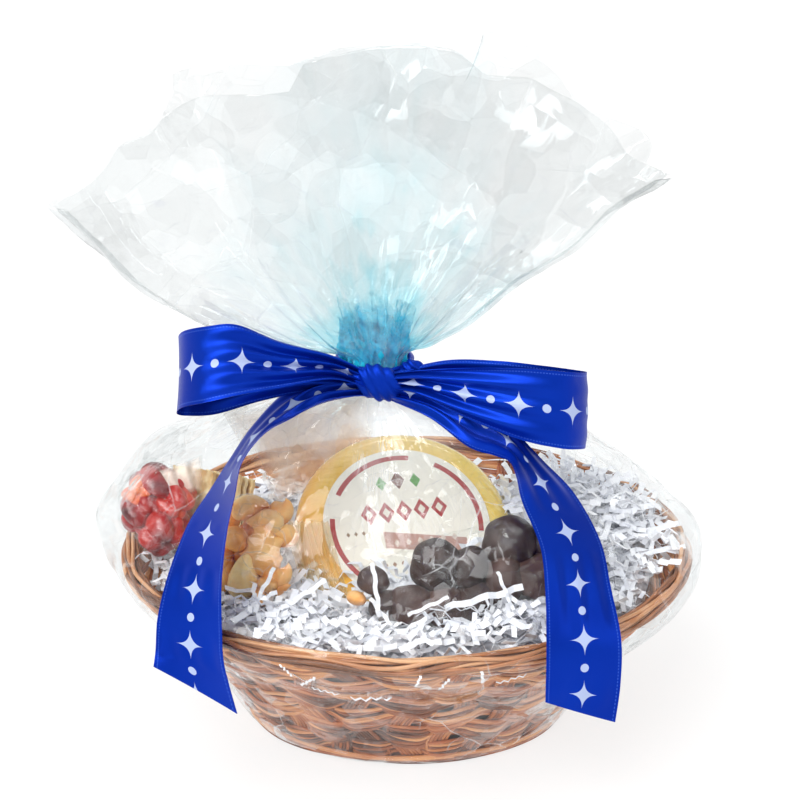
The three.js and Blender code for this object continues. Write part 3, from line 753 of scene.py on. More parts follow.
gaps = calc(tree, "GREATER_THAN", calc(tree, "SINE", calc(tree, "MULTIPLY", angle, 4)), -0.75)
ring = all_of(calc(tree, "COMPARE", radius, 38.2, 1.3), gaps)
band_line = calc(tree, "ADD", y, calc(tree, "MULTIPLY", x, 0.2))
band = all_of(calc(tree, "COMPARE", band_line, -9.5, 4.6), calc(tree, "COMPARE", x, 8, 21))
small = diamonds(8, -9.5, 6, 6, 1.5)
colour = paint(255, 249, 234)
for mask, ink in (
    (ring, paint(178, 6, 22)),
    (diamonds(0, 25.5, 8.5, 1, 3.6), paint(110, 46, 26)),
    (diamonds(-9, 24.5, 8.5, 1, 2.8), paint(66, 156, 34)),
    (diamonds(9, 24.5, 8.5, 1, 2.8), paint(66, 156, 34)),
    (diamonds(0, 8, 9.2, 5, 4.2), paint(174, 10, 26)),
    (diamonds(0, 8, 9.2, 5, 2.0), paint(240, 231, 214)),
    (band, paint(196, 150, 136)),
    (small, paint(232, 214, 200)),
    (diamonds(-27, -2, 4, 3, 1.0), paint(150, 118, 84)),
    (diamonds(-6, -21, 4.5, 7, 1.1), paint(170, 130, 104)),
):
    colour = blend_colours(tree, mask, colour, ink)
fibre = node(tree, "TexNoise", {"Vector": at_label, "Scale": 120.0, "Detail": 3.0}).outputs[0]
colour = blend_colours(tree, calc(tree, "MULTIPLY", fibre, 0.1), colour, paint(214, 196, 170))
bump = node(tree, "Bump", {"Height": fibre, "Strength": 0.2, "Distance": 0.0003})
sockets = {"Base Color": colour, "Roughness": 0.38, "Coat Weight": 0.5, "Coat Roughness": 0.1, "Normal": bump.outputs[0]}
show(tree, node(tree, "BsdfPrincipled", sockets))
dress(label, printed, "label", "cheese_label")

# Clear film
# Every bag and the outer wrap are thin clear film, crumpled into flat facets with sharp creases. It is nearly
# clear face on, mirrors the lamps on its facets and darkens where it is gathered. White lines along its creases
# and out from the tie are painted highlights, partly the whitening of creased film, and each facet passes a
# slightly different grey, a painted shade for the part of the room it mirrors.


def crinkle_group():
    """Flat facets that each tilt their own way, folds that run out from the tie, and broken lines on creases."""
    group = bpy.data.node_groups.new("film_crinkle", "ShaderNodeTree")
    group.interface.new_socket("Vector", in_out="INPUT", socket_type="NodeSocketVector")
    for name in ("Scale", "Tilt", "Fold Reach"):
        group.interface.new_socket(name, in_out="INPUT", socket_type="NodeSocketFloat")
    for name in ("Height", "Lines", "Shade"):
        group.interface.new_socket(name, in_out="OUTPUT", socket_type="NodeSocketFloat")
    given = group.nodes.new("NodeGroupInput")
    place, scale, tilt, reach = (given.outputs[i] for i in range(4))

    def vector(operation, *values):
        return node(group, "VectorMath", dict(enumerate(values)), operation=operation).outputs[0]

    def facets(size):
        cells = node(group, "TexVoronoi", {"Vector": bent, "Scale": size}).outputs
        lean, arm = vector("SUBTRACT", cells["Color"], (0.5, 0.5, 0.5)), vector("SUBTRACT", bent, cells["Position"])
        return node(group, "VectorMath", {0: lean, 1: arm}, operation="DOT_PRODUCT").outputs["Value"]

    def creases(where, size, width):
        edge = node(group, "TexVoronoi", {"Vector": where, "Scale": size}, feature="DISTANCE_TO_EDGE").outputs[0]
        return node(group, "MapRange", {0: edge, 1: 0.0, 2: width, 3: 1.0, 4: 0.0}).outputs[0]

    wander = node(group, "TexNoise", {"Vector": place, "Scale": 30.0, "Detail": 2.0}).outputs
    bent = vector("ADD", place, vector("MULTIPLY", wander["Color"], (0.012, 0.012, 0.012)))
    outward = vector("NORMALIZE", place)
    far = node(group, "VectorMath", {0: place}, operation="LENGTH").outputs["Value"]
    folds = node(group, "TexNoise", {"Vector": outward, "Scale": 10.0, "Detail": 1.0}).outputs[0]
    twice = calc(group, "MULTIPLY", scale, 2.2)
    finer = calc(group, "MULTIPLY", scale, 3.7)
    height = calc(group, "ADD", facets(scale), calc(group, "MULTIPLY", facets(twice), 0.8))
    height = calc(group, "ADD", height, calc(group, "MULTIPLY", facets(finer), 0.5))
    fading = node(group, "MapRange", {0: calc(group, "DIVIDE", far, reach), 1: 0.3, 2: 1.0, 3: 0.08, 4: 0.0}).outputs[0]
    height = calc(group, "ADD", height, calc(group, "MULTIPLY", calc(group, "MULTIPLY", folds, far), fading))
    # Painted highlights: broken white lines on the crease edges and out from the tie, partly the whitening of creased
    # film.
    broken = node(group, "MapRange", {0: wander[0], 1: 0.5, 2: 0.62}).outputs[0]
    close = calc(group, "MULTIPLY", fading, 12.5)
    drawn = calc(group, "MAXIMUM", creases(outward, 11.0, 0.07), creases(outward, 27.0, 0.13))
    lines = calc(group, "MAXIMUM", creases(bent, scale, 0.016), calc(group, "MULTIPLY", calc(group, "MULTIPLY", drawn, close), 1.5))
    veil = calc(group, "MULTIPLY", calc(group, "MULTIPLY", close, close), calc(group, "MULTIPLY", folds, 0.9))
    result = group.nodes.new("NodeGroupOutput")
    group.links.new(calc(group, "MULTIPLY", height, tilt), result.inputs[0])
    group.links.new(calc(group, "MAXIMUM", calc(group, "MULTIPLY", lines, broken), veil), result.inputs[1])
    # Each facet's own grey, which the film uses as painted shade.
    shades = [node(group, "TexVoronoi", {"Vector": bent, "Scale": size}).outputs["Color"] for size in (scale, twice)]
    reds = [node(group, "SeparateColor", {0: shade}).outputs[0] for shade in shades]
    group.links.new(calc(group, "MULTIPLY", calc(group, "ADD", *reds), 0.5), result.inputs[2])
    return group


CRINKLE = crinkle_group()
TIE = (-0.016, 0.0, 0.195)  # where the outer film is gathered
CLEAR = (0.985, 0.992, 0.992, 1)


def film_material(name, scale, tilt, haze, lines, tint=(CLEAR,), pull=(1, 1, 1), roughness=0.07, folds=0.01, gloss=1.4, grey=0.04, milk=(), soft_edge=0, top=0):
    """Clear film. tint holds the light that passes, from the tie outwards; pull squeezes that distance."""
    material, tree = empty_material(name)
    place = node(tree, "TexCoord").outputs["Object"]
    from_tie = node(tree, "VectorMath", {0: place, 1: TIE}, operation="SUBTRACT").outputs[0]
    crinkle = node(tree, "Group", node_tree=CRINKLE)
    tree.links.new(from_tie, crinkle.inputs[0])
    crinkle.inputs[1].default_value = scale
    crinkle.inputs[2].default_value = tilt
    crinkle.inputs[3].default_value = folds
    bump = node(tree, "Bump", {"Height": crinkle.outputs[0], "Strength": 1.0, "Distance": 1.0}).outputs[0]
    passing = tint[-1]
    if len(tint) > 1:
        pulled = node(tree, "VectorMath", {0: from_tie, 1: pull}, operation="MULTIPLY").outputs[0]
        far = node(tree, "VectorMath", {0: pulled}, operation="LENGTH").outputs["Value"]
        outward = node(tree, "VectorMath", {0: from_tie}, operation="NORMALIZE").outputs[0]
        streaks = node(tree, "TexNoise", {"Vector": outward, "Scale": 9.0, "Detail": 3.0}).outputs[0]
        patches = node(tree, "TexNoise", {"Vector": place, "Scale": 38.0, "Detail": 1.0}).outputs[0]
        uneven = calc(tree, "SUBTRACT", calc(tree, "ADD", streaks, patches), 1.0)
        reach = calc(tree, "DIVIDE", far, 0.14)
        reach = calc(tree, "ADD", reach, calc(tree, "MULTIPLY", calc(tree, "MULTIPLY", uneven, reach), 1.0))
        ramp = node(tree, "ValToRGB", {0: reach})
        stops = ramp.color_ramp.elements
        stops[0].color, stops[1].color = tint[0], tint[-1]
        for number, colour in enumerate(tint[1:-1]):
            stops.new((0.17, 0.26, 0.38, 0.62)[number]).color = colour
        passing = ramp.outputs[0]
    # Painted shade: each facet lets through a slightly different grey, standing in for the bright or dark part of the
    # room it mirrors.
    shade = calc(tree, "SUBTRACT", 1, calc(tree, "MULTIPLY", crinkle.outputs[2], grey))
    passing = blend_colours(tree, 1.0, passing, node(tree, "CombineColor", {0: shade, 1: shade, 2: shade}).outputs[0], "MULTIPLY")
    shadow = node(tree, "LightPath").outputs["Is Shadow Ray"]
    passing = blend_colours(tree, calc(tree, "MULTIPLY", shadow, 0.7), passing, (1, 1, 1, 1))
    mirror = calc(tree, "MULTIPLY", node(tree, "Fresnel", {"IOR": 1.46, "Normal": bump}).outputs[0], gloss)
    # Painted highlights: white along the creases and in lines out from the tie, partly the whitening of creased film;
    # haze is the film's own milkiness.
    white = calc(tree, "ADD", calc(tree, "MULTIPLY", crinkle.outputs[1], lines), haze)
    if top:
        height = node(tree, "SeparateXYZ", {0: place}).outputs[2]
        height = calc(tree, "ADD", height, calc(tree, "MULTIPLY", crinkle.outputs[2], 0.010))
        white = calc(tree, "MULTIPLY", white, node(tree, "MapRange", {0: height, 1: top - 0.012, 2: top, 3: 1, 4: 0}).outputs[0])
    if soft_edge:
        spread = node(tree, "SeparateXYZ", {0: node(tree, "TexCoord").outputs["UV"]}).outputs
        inwards = [calc(tree, "SUBTRACT", 0.5, calc(tree, "ABSOLUTE", calc(tree, "SUBTRACT", spread[i], 0.5))) for i in (0, 1)]
        near = calc(tree, "ADD", calc(tree, "MINIMUM", *inwards), calc(tree, "MULTIPLY", crinkle.outputs[2], 0.1))
        white = calc(tree, "MULTIPLY", white, node(tree, "MapRange", {0: near, 1: 0.04, 2: soft_edge}).outputs[0])
    factor = calc(tree, "MINIMUM", calc(tree, "ADD", mirror, white), 0.9)
    lit = calc(tree, "SUBTRACT", 1, calc(tree, "MULTIPLY", shadow, 0.8))
    front = calc(tree, "SUBTRACT", 1, node(tree, "NewGeometry").outputs["Backfacing"])
    factor = calc(tree, "MULTIPLY", calc(tree, "MULTIPLY", factor, front), lit)
    passed = node(tree, "BsdfTransparent", {0: passing})
    mirrored = calc(tree, "DIVIDE", mirror, calc(tree, "MAXIMUM", calc(tree, "ADD", mirror, white), 0.001))
    sockets = {"Base Color": (0.94, 0.96, 0.97, 1), "Metallic": mirrored, "Roughness": roughness, "Normal": bump}
    if milk:
        streaked = calc(tree, "MULTIPLY", crinkle.outputs[1], 0.8)
        sockets |= {"Base Color": blend_colours(tree, streaked, milk, (1, 1, 1, 1)), "Metallic": 0.0}
    shine = node(tree, "BsdfPrincipled", sockets)
    show(tree, node(tree, "MixShader", {0: factor, 1: passed.outputs[0], 2: shine.outputs[0]}))
    return material


bag_film = film_material("bag_film", 60.0, 0.4, 0.0, 0.26, roughness=0.14, gloss=0.55)
fin_film = film_material("fin_film", 120.0, 0.4, 0.36, 0.3, roughness=0.3, gloss=0.6, milk=paint(255, 220, 150))
hazy_film = film_material("hazy_film", 50.0, 0.4, 0.80, 0.3, roughness=0.3, gloss=0.3, milk=paint(255, 238, 222), soft_edge=0.24)


def crumple(places, period, depth, seed):
    """Flat facets with sharp creases: triangle waves through space along many directions, bent a little."""
    chance = np.random.default_rng(seed)
    bent = places + 0.16 * period * np.sin(places[:, [1, 2, 0]] / period * 2.1 + chance.uniform(0, 6.28, 3))
    height = np.zeros(len(places))
    for _ in range(7):
        direction = chance.normal(size=3)
        direction /= np.linalg.norm(direction)
        phase = bent @ direction / (period * chance.uniform(0.8, 1.9)) + chance.uniform()
        height += (np.abs(phase % 1 - 0.5) - 0.25) * 4 * chance.uniform(0.5, 1)
    return depth * height / 3.5


def bag(name, contents, slack, seed, nodes, slot):
    """A skin of film drawn tight round some pieces, then crumpled."""
    corners = np.concatenate([places_of(piece) for piece in contents])
    low, high = corners.min(0), corners.max(0)
    bpy.ops.object.select_all(action="DESELECT")
    bpy.ops.mesh.primitive_ico_sphere_add(subdivisions=6, location=(low + high) / 2, scale=(high - low) * 0.62)
    skin = bpy.context.active_object
    skin.name = skin.data.name = name
    finish_place(skin)
    copies = []
    for piece in contents:
        copy = piece.copy()
        copy.data = piece.data.copy()
        scene.collection.objects.link(copy)
        copies.append(copy)
    target = join("wrapped_for_now", copies)
    add_modifier(skin, "SHRINKWRAP", target=target, wrap_method="NEAREST_SURFACEPOINT", wrap_mode="OUTSIDE_SURFACE", offset=slack)
    add_modifier(skin, "SMOOTH", factor=0.8, iterations=26)
    bpy.data.objects.remove(target)
    at = places_of(skin)
    normals = np.empty(len(at) * 3)
    skin.data.vertices.foreach_get("normal", normals)
    put_places(skin, at + normals.reshape(-1, 3) * (crumple(at, 0.011, 0.0011, seed) + 0.0008)[:, None])
    smooth(skin, 180)
    dress(skin, bag_film, slot, *nodes)
    return skin


def film_patch(name, corners, ribs, depth, film, *nodes):
    """A loose fold of film between four corners, with ribs from its first side to the opposite one."""
    bpy.ops.object.select_all(action="DESELECT")
    bpy.ops.mesh.primitive_grid_add(x_subdivisions=72, y_subdivisions=24, size=1)
    patch = bpy.context.active_object
    patch.name = patch.data.name = name
    at = places_of(patch)
    u, v = at[:, :1] + 0.5, at[:, 1:2] + 0.5
    first, second, third, fourth = np.array(corners) / 1000
    flat = (first * (1 - u) + second * u) * (1 - v) + (fourth * (1 - u) + third * u) * v
    outward = np.cross(second - first, fourth - first)
    outward *= np.sign(-outward[1]) / np.linalg.norm(outward)
    lift = depth * (np.cos(ribs * 2 * math.pi * u + 0.8 * np.sin(5 * v)) + 2 * np.sin(math.pi * u) * np.sin(math.pi * v))
    put_places(patch, flat + outward * lift)
    add_modifier(patch, "SOLIDIFY", thickness=0.0002, offset=0)
    smooth(patch, 60)
    dress(patch, film, "film", *nodes)
    return patch


FLAP = [(-62.4, -11.4, 113.0), (-39.8, -8.1, 111.3), (-27.3, -46.5, 81.0), (-43.9, -61.0, 73.4)]
film_patch("cheese_film_fin", FLAP, 7, 0.0010, fin_film, "cheese_wheel")

# The chocolates
# Fruit and nuts dipped in dark chocolate, round and uneven, dull with bloom, in a bag in front of the cheese. One
# bare nut lies at the left end of the bag.

chance = np.random.default_rng(5)
chocolates = []
for place, radius in CHOCOLATES:
    bpy.ops.object.select_all(action="DESELECT")
    turned = tuple(chance.uniform(0, 3, 3))
    sizes = radius * chance.uniform(0.88, 1.06, 3)
    bpy.ops.mesh.primitive_ico_sphere_add(subdivisions=5, radius=1, location=place, rotation=turned, scale=sizes)
    ball = bpy.context.active_object
    finish_place(ball)
    at = places_of(ball)
    away = (at - np.array(place)) / radius
    dimples = np.sin(3.1 * away[:, 0] + chance.uniform(0, 6)) * np.sin(3.7 * away[:, 1] + chance.uniform(0, 6))
    put_places(ball, at + away * radius * (0.07 * dimples + 0.03 * np.sin(7 * away[:, 2] + 3 * away[:, 0]))[:, None])
    set_tone(ball, chance.uniform())
    chocolates.append(ball)
chocolate = join("chocolates", chocolates)
smooth(chocolate)
dark = food_material("dark_chocolate", [paint(42, 25, 23), paint(72, 48, 43), paint(108, 80, 73)], 60.0, 0.55, 0.0006)
dress(chocolate, dark, "chocolate", "chocolate_bag")
bag("chocolate_bag_film", [chocolate], 0.0006, 3, ["chocolate_bag"], "film")

# The nuts
# Roasted cashews and blanched almonds in a bag at the left of the cheese, pressed against the film.


def cashew(place, turned, size, tone):
    """A fat bean bent to a half ring: a sphere drawn out along an arc."""
    bpy.ops.object.select_all(action="DESELECT")
    bpy.ops.mesh.primitive_uv_sphere_add(segments=28, ring_count=24)
    nut = bpy.context.active_object
    at = places_of(nut)
    bend = np.arcsin(np.clip(at[:, 2], -1, 1)) * 0.95
    fat = 0.46 * (1 - 0.16 * np.sin(bend * 0.9)) * (1 + 0.1 * np.cos(2 * bend))
    reach = 0.62 + at[:, 0] * fat
    nut_shape = np.stack([reach * np.cos(bend) - 0.45, at[:, 1] * fat * 0.9, reach * np.sin(bend)], axis=-1)
    put_places(nut, nut_shape * size)
    nut.location, nut.rotation_euler = place, turned
    finish_place(nut)
    set_tone(nut, tone)
    return nut


def almond(place, turned, size, tone):
    """A flat drop, pointed at one end."""
    bpy.ops.object.select_all(action="DESELECT")
    bpy.ops.mesh.primitive_uv_sphere_add(segments=28, ring_count=20)
    nut = bpy.context.active_object
    at = places_of(nut)
    taper = 1 - 0.32 * np.clip(at[:, 2], -1, 1)
    put_places(nut, np.stack([at[:, 0] * 0.52 * taper, at[:, 1] * 0.40 * taper, at[:, 2] * 0.95], axis=-1) * size)
    nut.location, nut.rotation_euler = place, turned
    finish_place(nut)
    set_tone(nut, tone)
    return nut


NUTS = [  # kind, place, turn in degrees, size, tone
    (almond, (-0.0800, -0.0540, 0.1050), (8, 6, 10), 0.0128, 0.95),
    (cashew, (-0.0690, -0.0480, 0.1320), (70, 20, 40), 0.0125, 0.60),
    (cashew, (-0.0660, -0.0520, 0.1150), (5, -10, 190), 0.0140, 0.50),
    (cashew, (-0.0735, -0.0520, 0.1230), (10, 20, 10), 0.0130, 0.45),
    (cashew, (-0.0850, -0.0470, 0.1240), (70, 60, 10), 0.0120, 0.35),
    (cashew, (-0.0930, -0.0460, 0.1130), (20, 100, 60), 0.0120, 0.50),
    (almond, (-0.0920, -0.0480, 0.1010), (15, 30, 50), 0.0110, 0.60),
    (almond, (-0.0680, -0.0560, 0.1020), (60, 20, 0), 0.0095, 0.55),
    (cashew, (-0.0630, -0.0540, 0.1060), (20, 70, 40), 0.0095, 0.60),
    (almond, (-0.0720, -0.0580, 0.0960), (80, 60, 0), 0.0080, 0.35),
    (cashew, (-0.0640, -0.0500, 0.0990), (100, 10, 200), 0.0115, 0.40),
    (cashew, (-0.0610, -0.0460, 0.1230), (30, -20, 0), 0.0105, 0.55),
    (cashew, (-0.0770, -0.0420, 0.1120), (40, 90, 20), 0.0130, 0.25),
    (cashew, (-0.0880, -0.0370, 0.1280), (20, 20, 90), 0.0120, 0.50),
    (cashew, (-0.0770, -0.0380, 0.1340), (80, 0, 120), 0.0120, 0.65),
    (cashew, (-0.0640, -0.0370, 0.1330), (30, 60, 20), 0.0115, 0.70),
    (cashew, (-0.0840, -0.0300, 0.1150), (10, 50, 20), 0.0130, 0.30),
    (cashew, (-0.0900, -0.0360, 0.1030), (70, 10, 300), 0.0120, 0.30),
    (cashew, (-0.0700, -0.0380, 0.1040), (30, 80, 90), 0.0140, 0.25),
    (cashew, (-0.0800, -0.0330, 0.0960), (30, 80, 90), 0.0140, 0.25),
]
nuts = [kind(place, [math.radians(a) for a in turned], size * 1.12, tone) for kind, place, turned, size, tone in NUTS]
nut_pile = join("nuts", nuts)
smooth(nut_pile)
roasted = food_material(
    "roasted_nuts", [paint(206, 114, 44), paint(250, 180, 98), paint(255, 226, 158)], 70.0, 0.42, 0.0004, 0.15, 0.6
)
dress(nut_pile, roasted, "nuts", "nut_bag")
bag("nut_bag_film", [nut_pile], 0.0006, 8, ["nut_bag"], "film")
BAG_TOP = [(-94, 16, 162), (-14, 52, 162), (-20, 52, 100), (-68, 34, 100)]
film_patch("nut_bag_top", BAG_TOP, 3, 0.0016, hazy_film, "nut_bag")
stray = almond((-0.0240, -0.0760, 0.1050), (1.2, 0.4, 0.2), 0.0085, 0.5)
stray.name = stray.data.name = "stray_nut"
smooth(stray)
dress(stray, roasted, "nuts", "chocolate_bag")

# The candied fruit
# Dark red slices and one orange piece, soft, folded and wet with sugar, in a bag that leans over the rim.

FRUIT = [  # place, radii, turn, tone
    ((-0.1330, -0.0050, 0.1160), (0.0110, 0.0110, 0.0120), (0, 10, 0), 0.2),
    ((-0.1220, -0.0150, 0.1090), (0.0120, 0.0090, 0.0110), (20, 0, 30), 0.3),
    ((-0.1220, 0.0010, 0.1270), (0.0140, 0.0120, 0.0090), (0, 25, 0), 0.25),
    ((-0.1280, 0.0100, 0.1190), (0.0130, 0.0120, 0.0110), (0, 30, 0), 0.35),
    ((-0.1345, -0.0060, 0.1275), (0.0095, 0.0055, 0.0062), (0, -40, 20), 1.0),
    ((-0.1170, -0.0070, 0.1220), (0.0085, 0.0080, 0.0080), (40, 0, 0), 0.55),
    ((-0.1240, -0.0020, 0.1090), (0.0140, 0.0150, 0.0120), (0, 0, 0), 0.2),
]
chance = np.random.default_rng(9)
slices = []
for place, radii, turned, tone in FRUIT:
    bpy.ops.object.select_all(action="DESELECT")
    turned = [math.radians(a) for a in turned]
    bpy.ops.mesh.primitive_ico_sphere_add(subdivisions=5, radius=1, location=place, rotation=turned, scale=radii)
    fruit = bpy.context.active_object
    finish_place(fruit)
    at = places_of(fruit)
    away = (at - np.array(place)) / np.array(radii)
    ruck = np.abs(np.sin(2.0 * away[:, 0] + 1.6 * np.sin(1.8 * away[:, 2]) + chance.uniform(0, 6)))
    crease = np.abs(np.sin(2.6 * away[:, 1] - 2.0 * away[:, 2] + 1.2 * np.sin(2 * away[:, 0]) + chance.uniform(0, 6)))
    put_places(fruit, at + (at - np.array(place)) * (0.30 * ruck + 0.22 * crease - 0.30)[:, None])
    set_tone(fruit, tone)
    slices.append(fruit)
fruit = join("candied_fruit", slices)
smooth(fruit)
red = food_material(
    "candied_fruit", [paint(84, 0, 6), paint(166, 6, 10), paint(214, 50, 30), paint(246, 122, 34)], 60.0, 0.3, 0.0005, 0.3, 0.6
)
dress(fruit, red, "fruit", "fruit_bag")
bag("fruit_bag_film", [fruit], 0.0010, 4, ["fruit_bag"], "film")

BAG_TIP = [(-128, -6, 138), (-104, 8, 141), (-104, 2, 124), (-122, -10, 124)]
film_patch("fruit_bag_tip", BAG_TIP, 3, 0.0014, hazy_film, "fruit_bag")

# The crackers
# Seven square pale crackers, ridged and pricked, stacked on their sides behind the nuts.

bpy.ops.object.select_all(action="DESELECT")
bpy.ops.mesh.primitive_cube_add(size=1, scale=(0.0030, 0.0385, 0.0370))
cracker = bpy.context.active_object
finish_place(cracker)
bpy.ops.object.mode_set(mode="EDIT")
bpy.ops.mesh.select_all(action="SELECT")
bpy.ops.mesh.subdivide(number_cuts=23)
bpy.ops.object.mode_set(mode="OBJECT")
at = places_of(cracker)
edge = np.maximum(np.abs(at[:, 1]) / 0.01925, np.abs(at[:, 2]) / 0.0185)
ridge = 0.00035 * np.cos(at[:, 1] * 2 * math.pi / 0.0055)
bow = 0.0007 * np.cos(at[:, 2] * 90)
thin = 1 - 0.45 * np.clip((edge - 0.8) / 0.2, 0, 1) ** 2
put_places(cracker, np.stack([at[:, 0] * thin + ridge + bow, at[:, 1] + 0.0004 * np.sin(at[:, 2] * 900), at[:, 2]], axis=-1))
stack_turn = Matrix.Rotation(math.radians(70), 4, "X") @ Matrix.Rotation(math.radians(38), 4, "Y")
stack_turn = stack_turn @ Matrix.Rotation(math.radians(-12), 4, "Z")
crackers = []
for number in range(7):
    bpy.ops.object.select_all(action="DESELECT")
    cracker.select_set(True)
    bpy.context.view_layer.objects.active = cracker
    bpy.ops.object.duplicate()
    one = bpy.context.active_object
    one.matrix_world = (
        Matrix.Translation((-0.1025, 0.0200, 0.1040))
        @ stack_turn
        @ Matrix.Translation(((number - 3) * 0.0042, 0.0006 * math.sin(number * 5), 0.0005 * math.cos(number * 3)))
    )
    finish_place(one)
    set_tone(one, (number * 0.37) % 1)
    crackers.append(one)
bpy.data.objects.remove(cracker)
stack = join("crackers", crackers)
smooth(stack, 60)
baked = food_material(
    "baked_cracker", [paint(206, 164, 104), paint(234, 212, 160), paint(246, 232, 194)], 110.0, 0.6, 0.0005, 0.0, 0.3
)
dress(stack, baked, "cracker", "cracker_stack")

# The outer film
# One sheet of clear film, from under the basket up round it and over the food, gathered in the tie and open
# above it as a wide fan. It is one sheet, made here as the part below the tie and the fan above it.

FILM_STATIONS = [  # reach to the left, right, front and back, then height at those four places, in millimetres
    (-60, 60, -38, 38, 0, 0, 0, 0),
    (-81, 81, -59, 59, 0.6, 0.6, 0.6, 0.6),
    (-94, 94, -72, 72, 20, 20, 20, 20),
    (-107, 110, -85, 85, 40, 40, 40, 40),
    (-121, 128, -99, 99, 60, 60, 60, 60),
    (-143, 147, -122, 122, 83, 83, 83, 83),
    (-151, 150, -129, 129, 97, 98, 100, 100),
    (-156, 138, -115, 115, 112, 112, 113, 115),
    (-134, 112, -87, 89, 143, 134, 134, 138),
    (-100, 79, -60, 62, 165, 157, 157, 160),
    (-62, 38, -35, 36, 180, 175, 174, 176),
    (-32, 0, -16, 16, 187, 187, 187, 187),
    (-32, 0, -16, 16, 203, 203, 203, 203),
    (-58, 12, -23, 23, 205, 207, 217, 215),
    (-95, 36, -30, 31, 215, 220, 248, 243),
    (-125, 62, -34, 37, 229, 243, 284, 275),
    (-149, 93, -37, 42, 255, 268, 323, 309),
    (-167, 125, -38, 46, 276, 291, 354, 341),
]
FAN_CORNERS = [(64, 10), (128, 2), (236, 4), (290, 10)]  # of the sheet: angle in degrees, rise in millimetres
BACK_EDGE = [(40, 0), (54, 4), (60, 6), (66.5, 7), (68, -8), (72, -3), (80, 1), (95, 1), (105, -4), (128, 6), (129.5, -7), (150, 0)]
FRONT_EDGE = [(235, 0), (250, -2), (258, -4), (259.5, 7), (268, 9), (278, 9), (286, 7), (292, -3), (303, 5), (312, 6), (330, 0)]
PLEATS = [0, 0, 0, 0, 0, 0, 1.2, 1.6, 1.8, 1.8, 1.6, 0.6, 0.6, 1.8, 3.5, 5.5, 7.5, 9.5]  # their depth


def spline(marks, at):
    """A smooth line through evenly spaced marks."""
    marks = np.asarray(marks, float)
    at = np.clip(at, 0, len(marks) - 1.000001)
    i = at.astype(int)
    t = (at - i).reshape(-1, *[1] * (marks.ndim - 1))
    before, here = marks[np.maximum(i - 1, 0)], marks[i]
    there, after = marks[np.minimum(i + 1, len(marks) - 1)], marks[np.minimum(i + 2, len(marks) - 1)]
    start, end = (there - before) / 2, (after - here) / 2
    return (
        here * (2 * t**3 - 3 * t**2 + 1)
        + start * (t**3 - 2 * t**2 + t)
        + there * (3 * t**2 - 2 * t**3)
        + end * (t**3 - t**2)
    )


def film_places(station, turn):
    """Places on the film, in metres: station along it from the floor up, turn round it."""
    left, right, front, back, z_left, z_right, z_front, z_back = spline(FILM_STATIONS, station).T
    c, s = np.cos(turn), np.sin(turn)
    side = np.abs(c) ** 2.6
    high = np.where(s > 0, z_back, z_front) * (1 - side) + np.where(c > 0, z_right, z_left) * side
    top = np.clip(station - 16, 0, 1) ** 2
    for angle, rise in FAN_CORNERS:
        off = (turn - math.radians(angle) + math.pi) % (2 * math.pi) - math.pi
        high = high + top * rise * np.exp(-((off / 0.3) ** 2))
    ragged = np.interp(np.degrees(turn) % 360, *zip(*BACK_EDGE, *FRONT_EDGE))
    high = high + np.clip((station - 15) / 2, 0, 1) ** 2 * ragged
    drift = 0.12 * station
    pleat = 0.5 * np.sin(13 * turn + 1.7 * np.sin(2 * turn)) + 0.3 * np.sin(8 * turn + 2.1 + drift)
    pleat = pleat + 0.2 * np.sin(5 * turn + 0.6 - drift)
    near_tie = np.exp(-(((station - 12) / 1.9) ** 2))
    fine = 0.8 * np.sin(31 * turn + 2 * np.sin(3 * turn)) + 0.5 * np.sin(47 * turn + 1.3)
    out = spline(PLEATS, station) * pleat + near_tie * (1 + np.clip(station - 12.3, 0, 1.5)) * fine
    x = (left + right) / 2 + ((right - left) / 2 + out) * c
    y = (front + back) / 2 + ((back - front) / 2 + out) * s
    return np.stack([x, y, np.maximum(high, 0.15)], axis=-1) / 1000


def film_piece(name, first, last, rows, columns, seed, depth, places=film_places, facet=0.045):
    """A stretch of the sheet between two stations: a tube drawn from a grid, crumpled and given its wall."""
    bpy.ops.object.select_all(action="DESELECT")
    bpy.ops.mesh.primitive_grid_add(x_subdivisions=columns, y_subdivisions=rows, size=1)
    film = bpy.context.active_object
    film.name = film.data.name = name
    at = places_of(film)
    turn = (at[:, 0] + 0.5) * 2 * math.pi
    station = first + (at[:, 1] + 0.5) * (last - first)
    here = places(station, turn)
    ahead = places(np.minimum(station + 0.05, 17), turn) - places(np.maximum(station - 0.05, 0), turn)
    beside = places(station, turn + 0.01) - places(station, turn - 0.01)
    normal = np.cross(beside, ahead)
    normal /= np.maximum(np.linalg.norm(normal, axis=1), 1e-12)[:, None]
    free = depth(station)
    creased = crumple(here, facet, 1.0, seed) + 0.15 * crumple(here, facet * 0.31, 1.0, seed + 1)
    creased_places = here + normal * (free * creased)[:, None]
    creased_places[:, 2] = np.maximum(creased_places[:, 2], here[:, 2].min())
    put_places(film, creased_places)
    bpy.ops.object.mode_set(mode="EDIT")
    bpy.ops.mesh.select_all(action="SELECT")
    bpy.ops.mesh.remove_doubles(threshold=0.00001)
    if first == 0:
        bpy.ops.mesh.select_all(action="DESELECT")
        bpy.ops.object.mode_set(mode="OBJECT")
        at = places_of(film)
        ring = (at[:, 2] < 0.0004) & (np.hypot(at[:, 0] / 0.06, at[:, 1] / 0.038) < 1.01)
        film.data.vertices.foreach_set("select", ring)
        bpy.ops.object.mode_set(mode="EDIT")
        bpy.ops.mesh.edge_face_add()
    bpy.ops.mesh.select_all(action="SELECT")
    bpy.ops.mesh.normals_make_consistent(inside=False)
    bpy.ops.object.mode_set(mode="OBJECT")
    add_modifier(film, "SOLIDIFY", thickness=0.0002, offset=-1)
    smooth(film, 180)
    return film


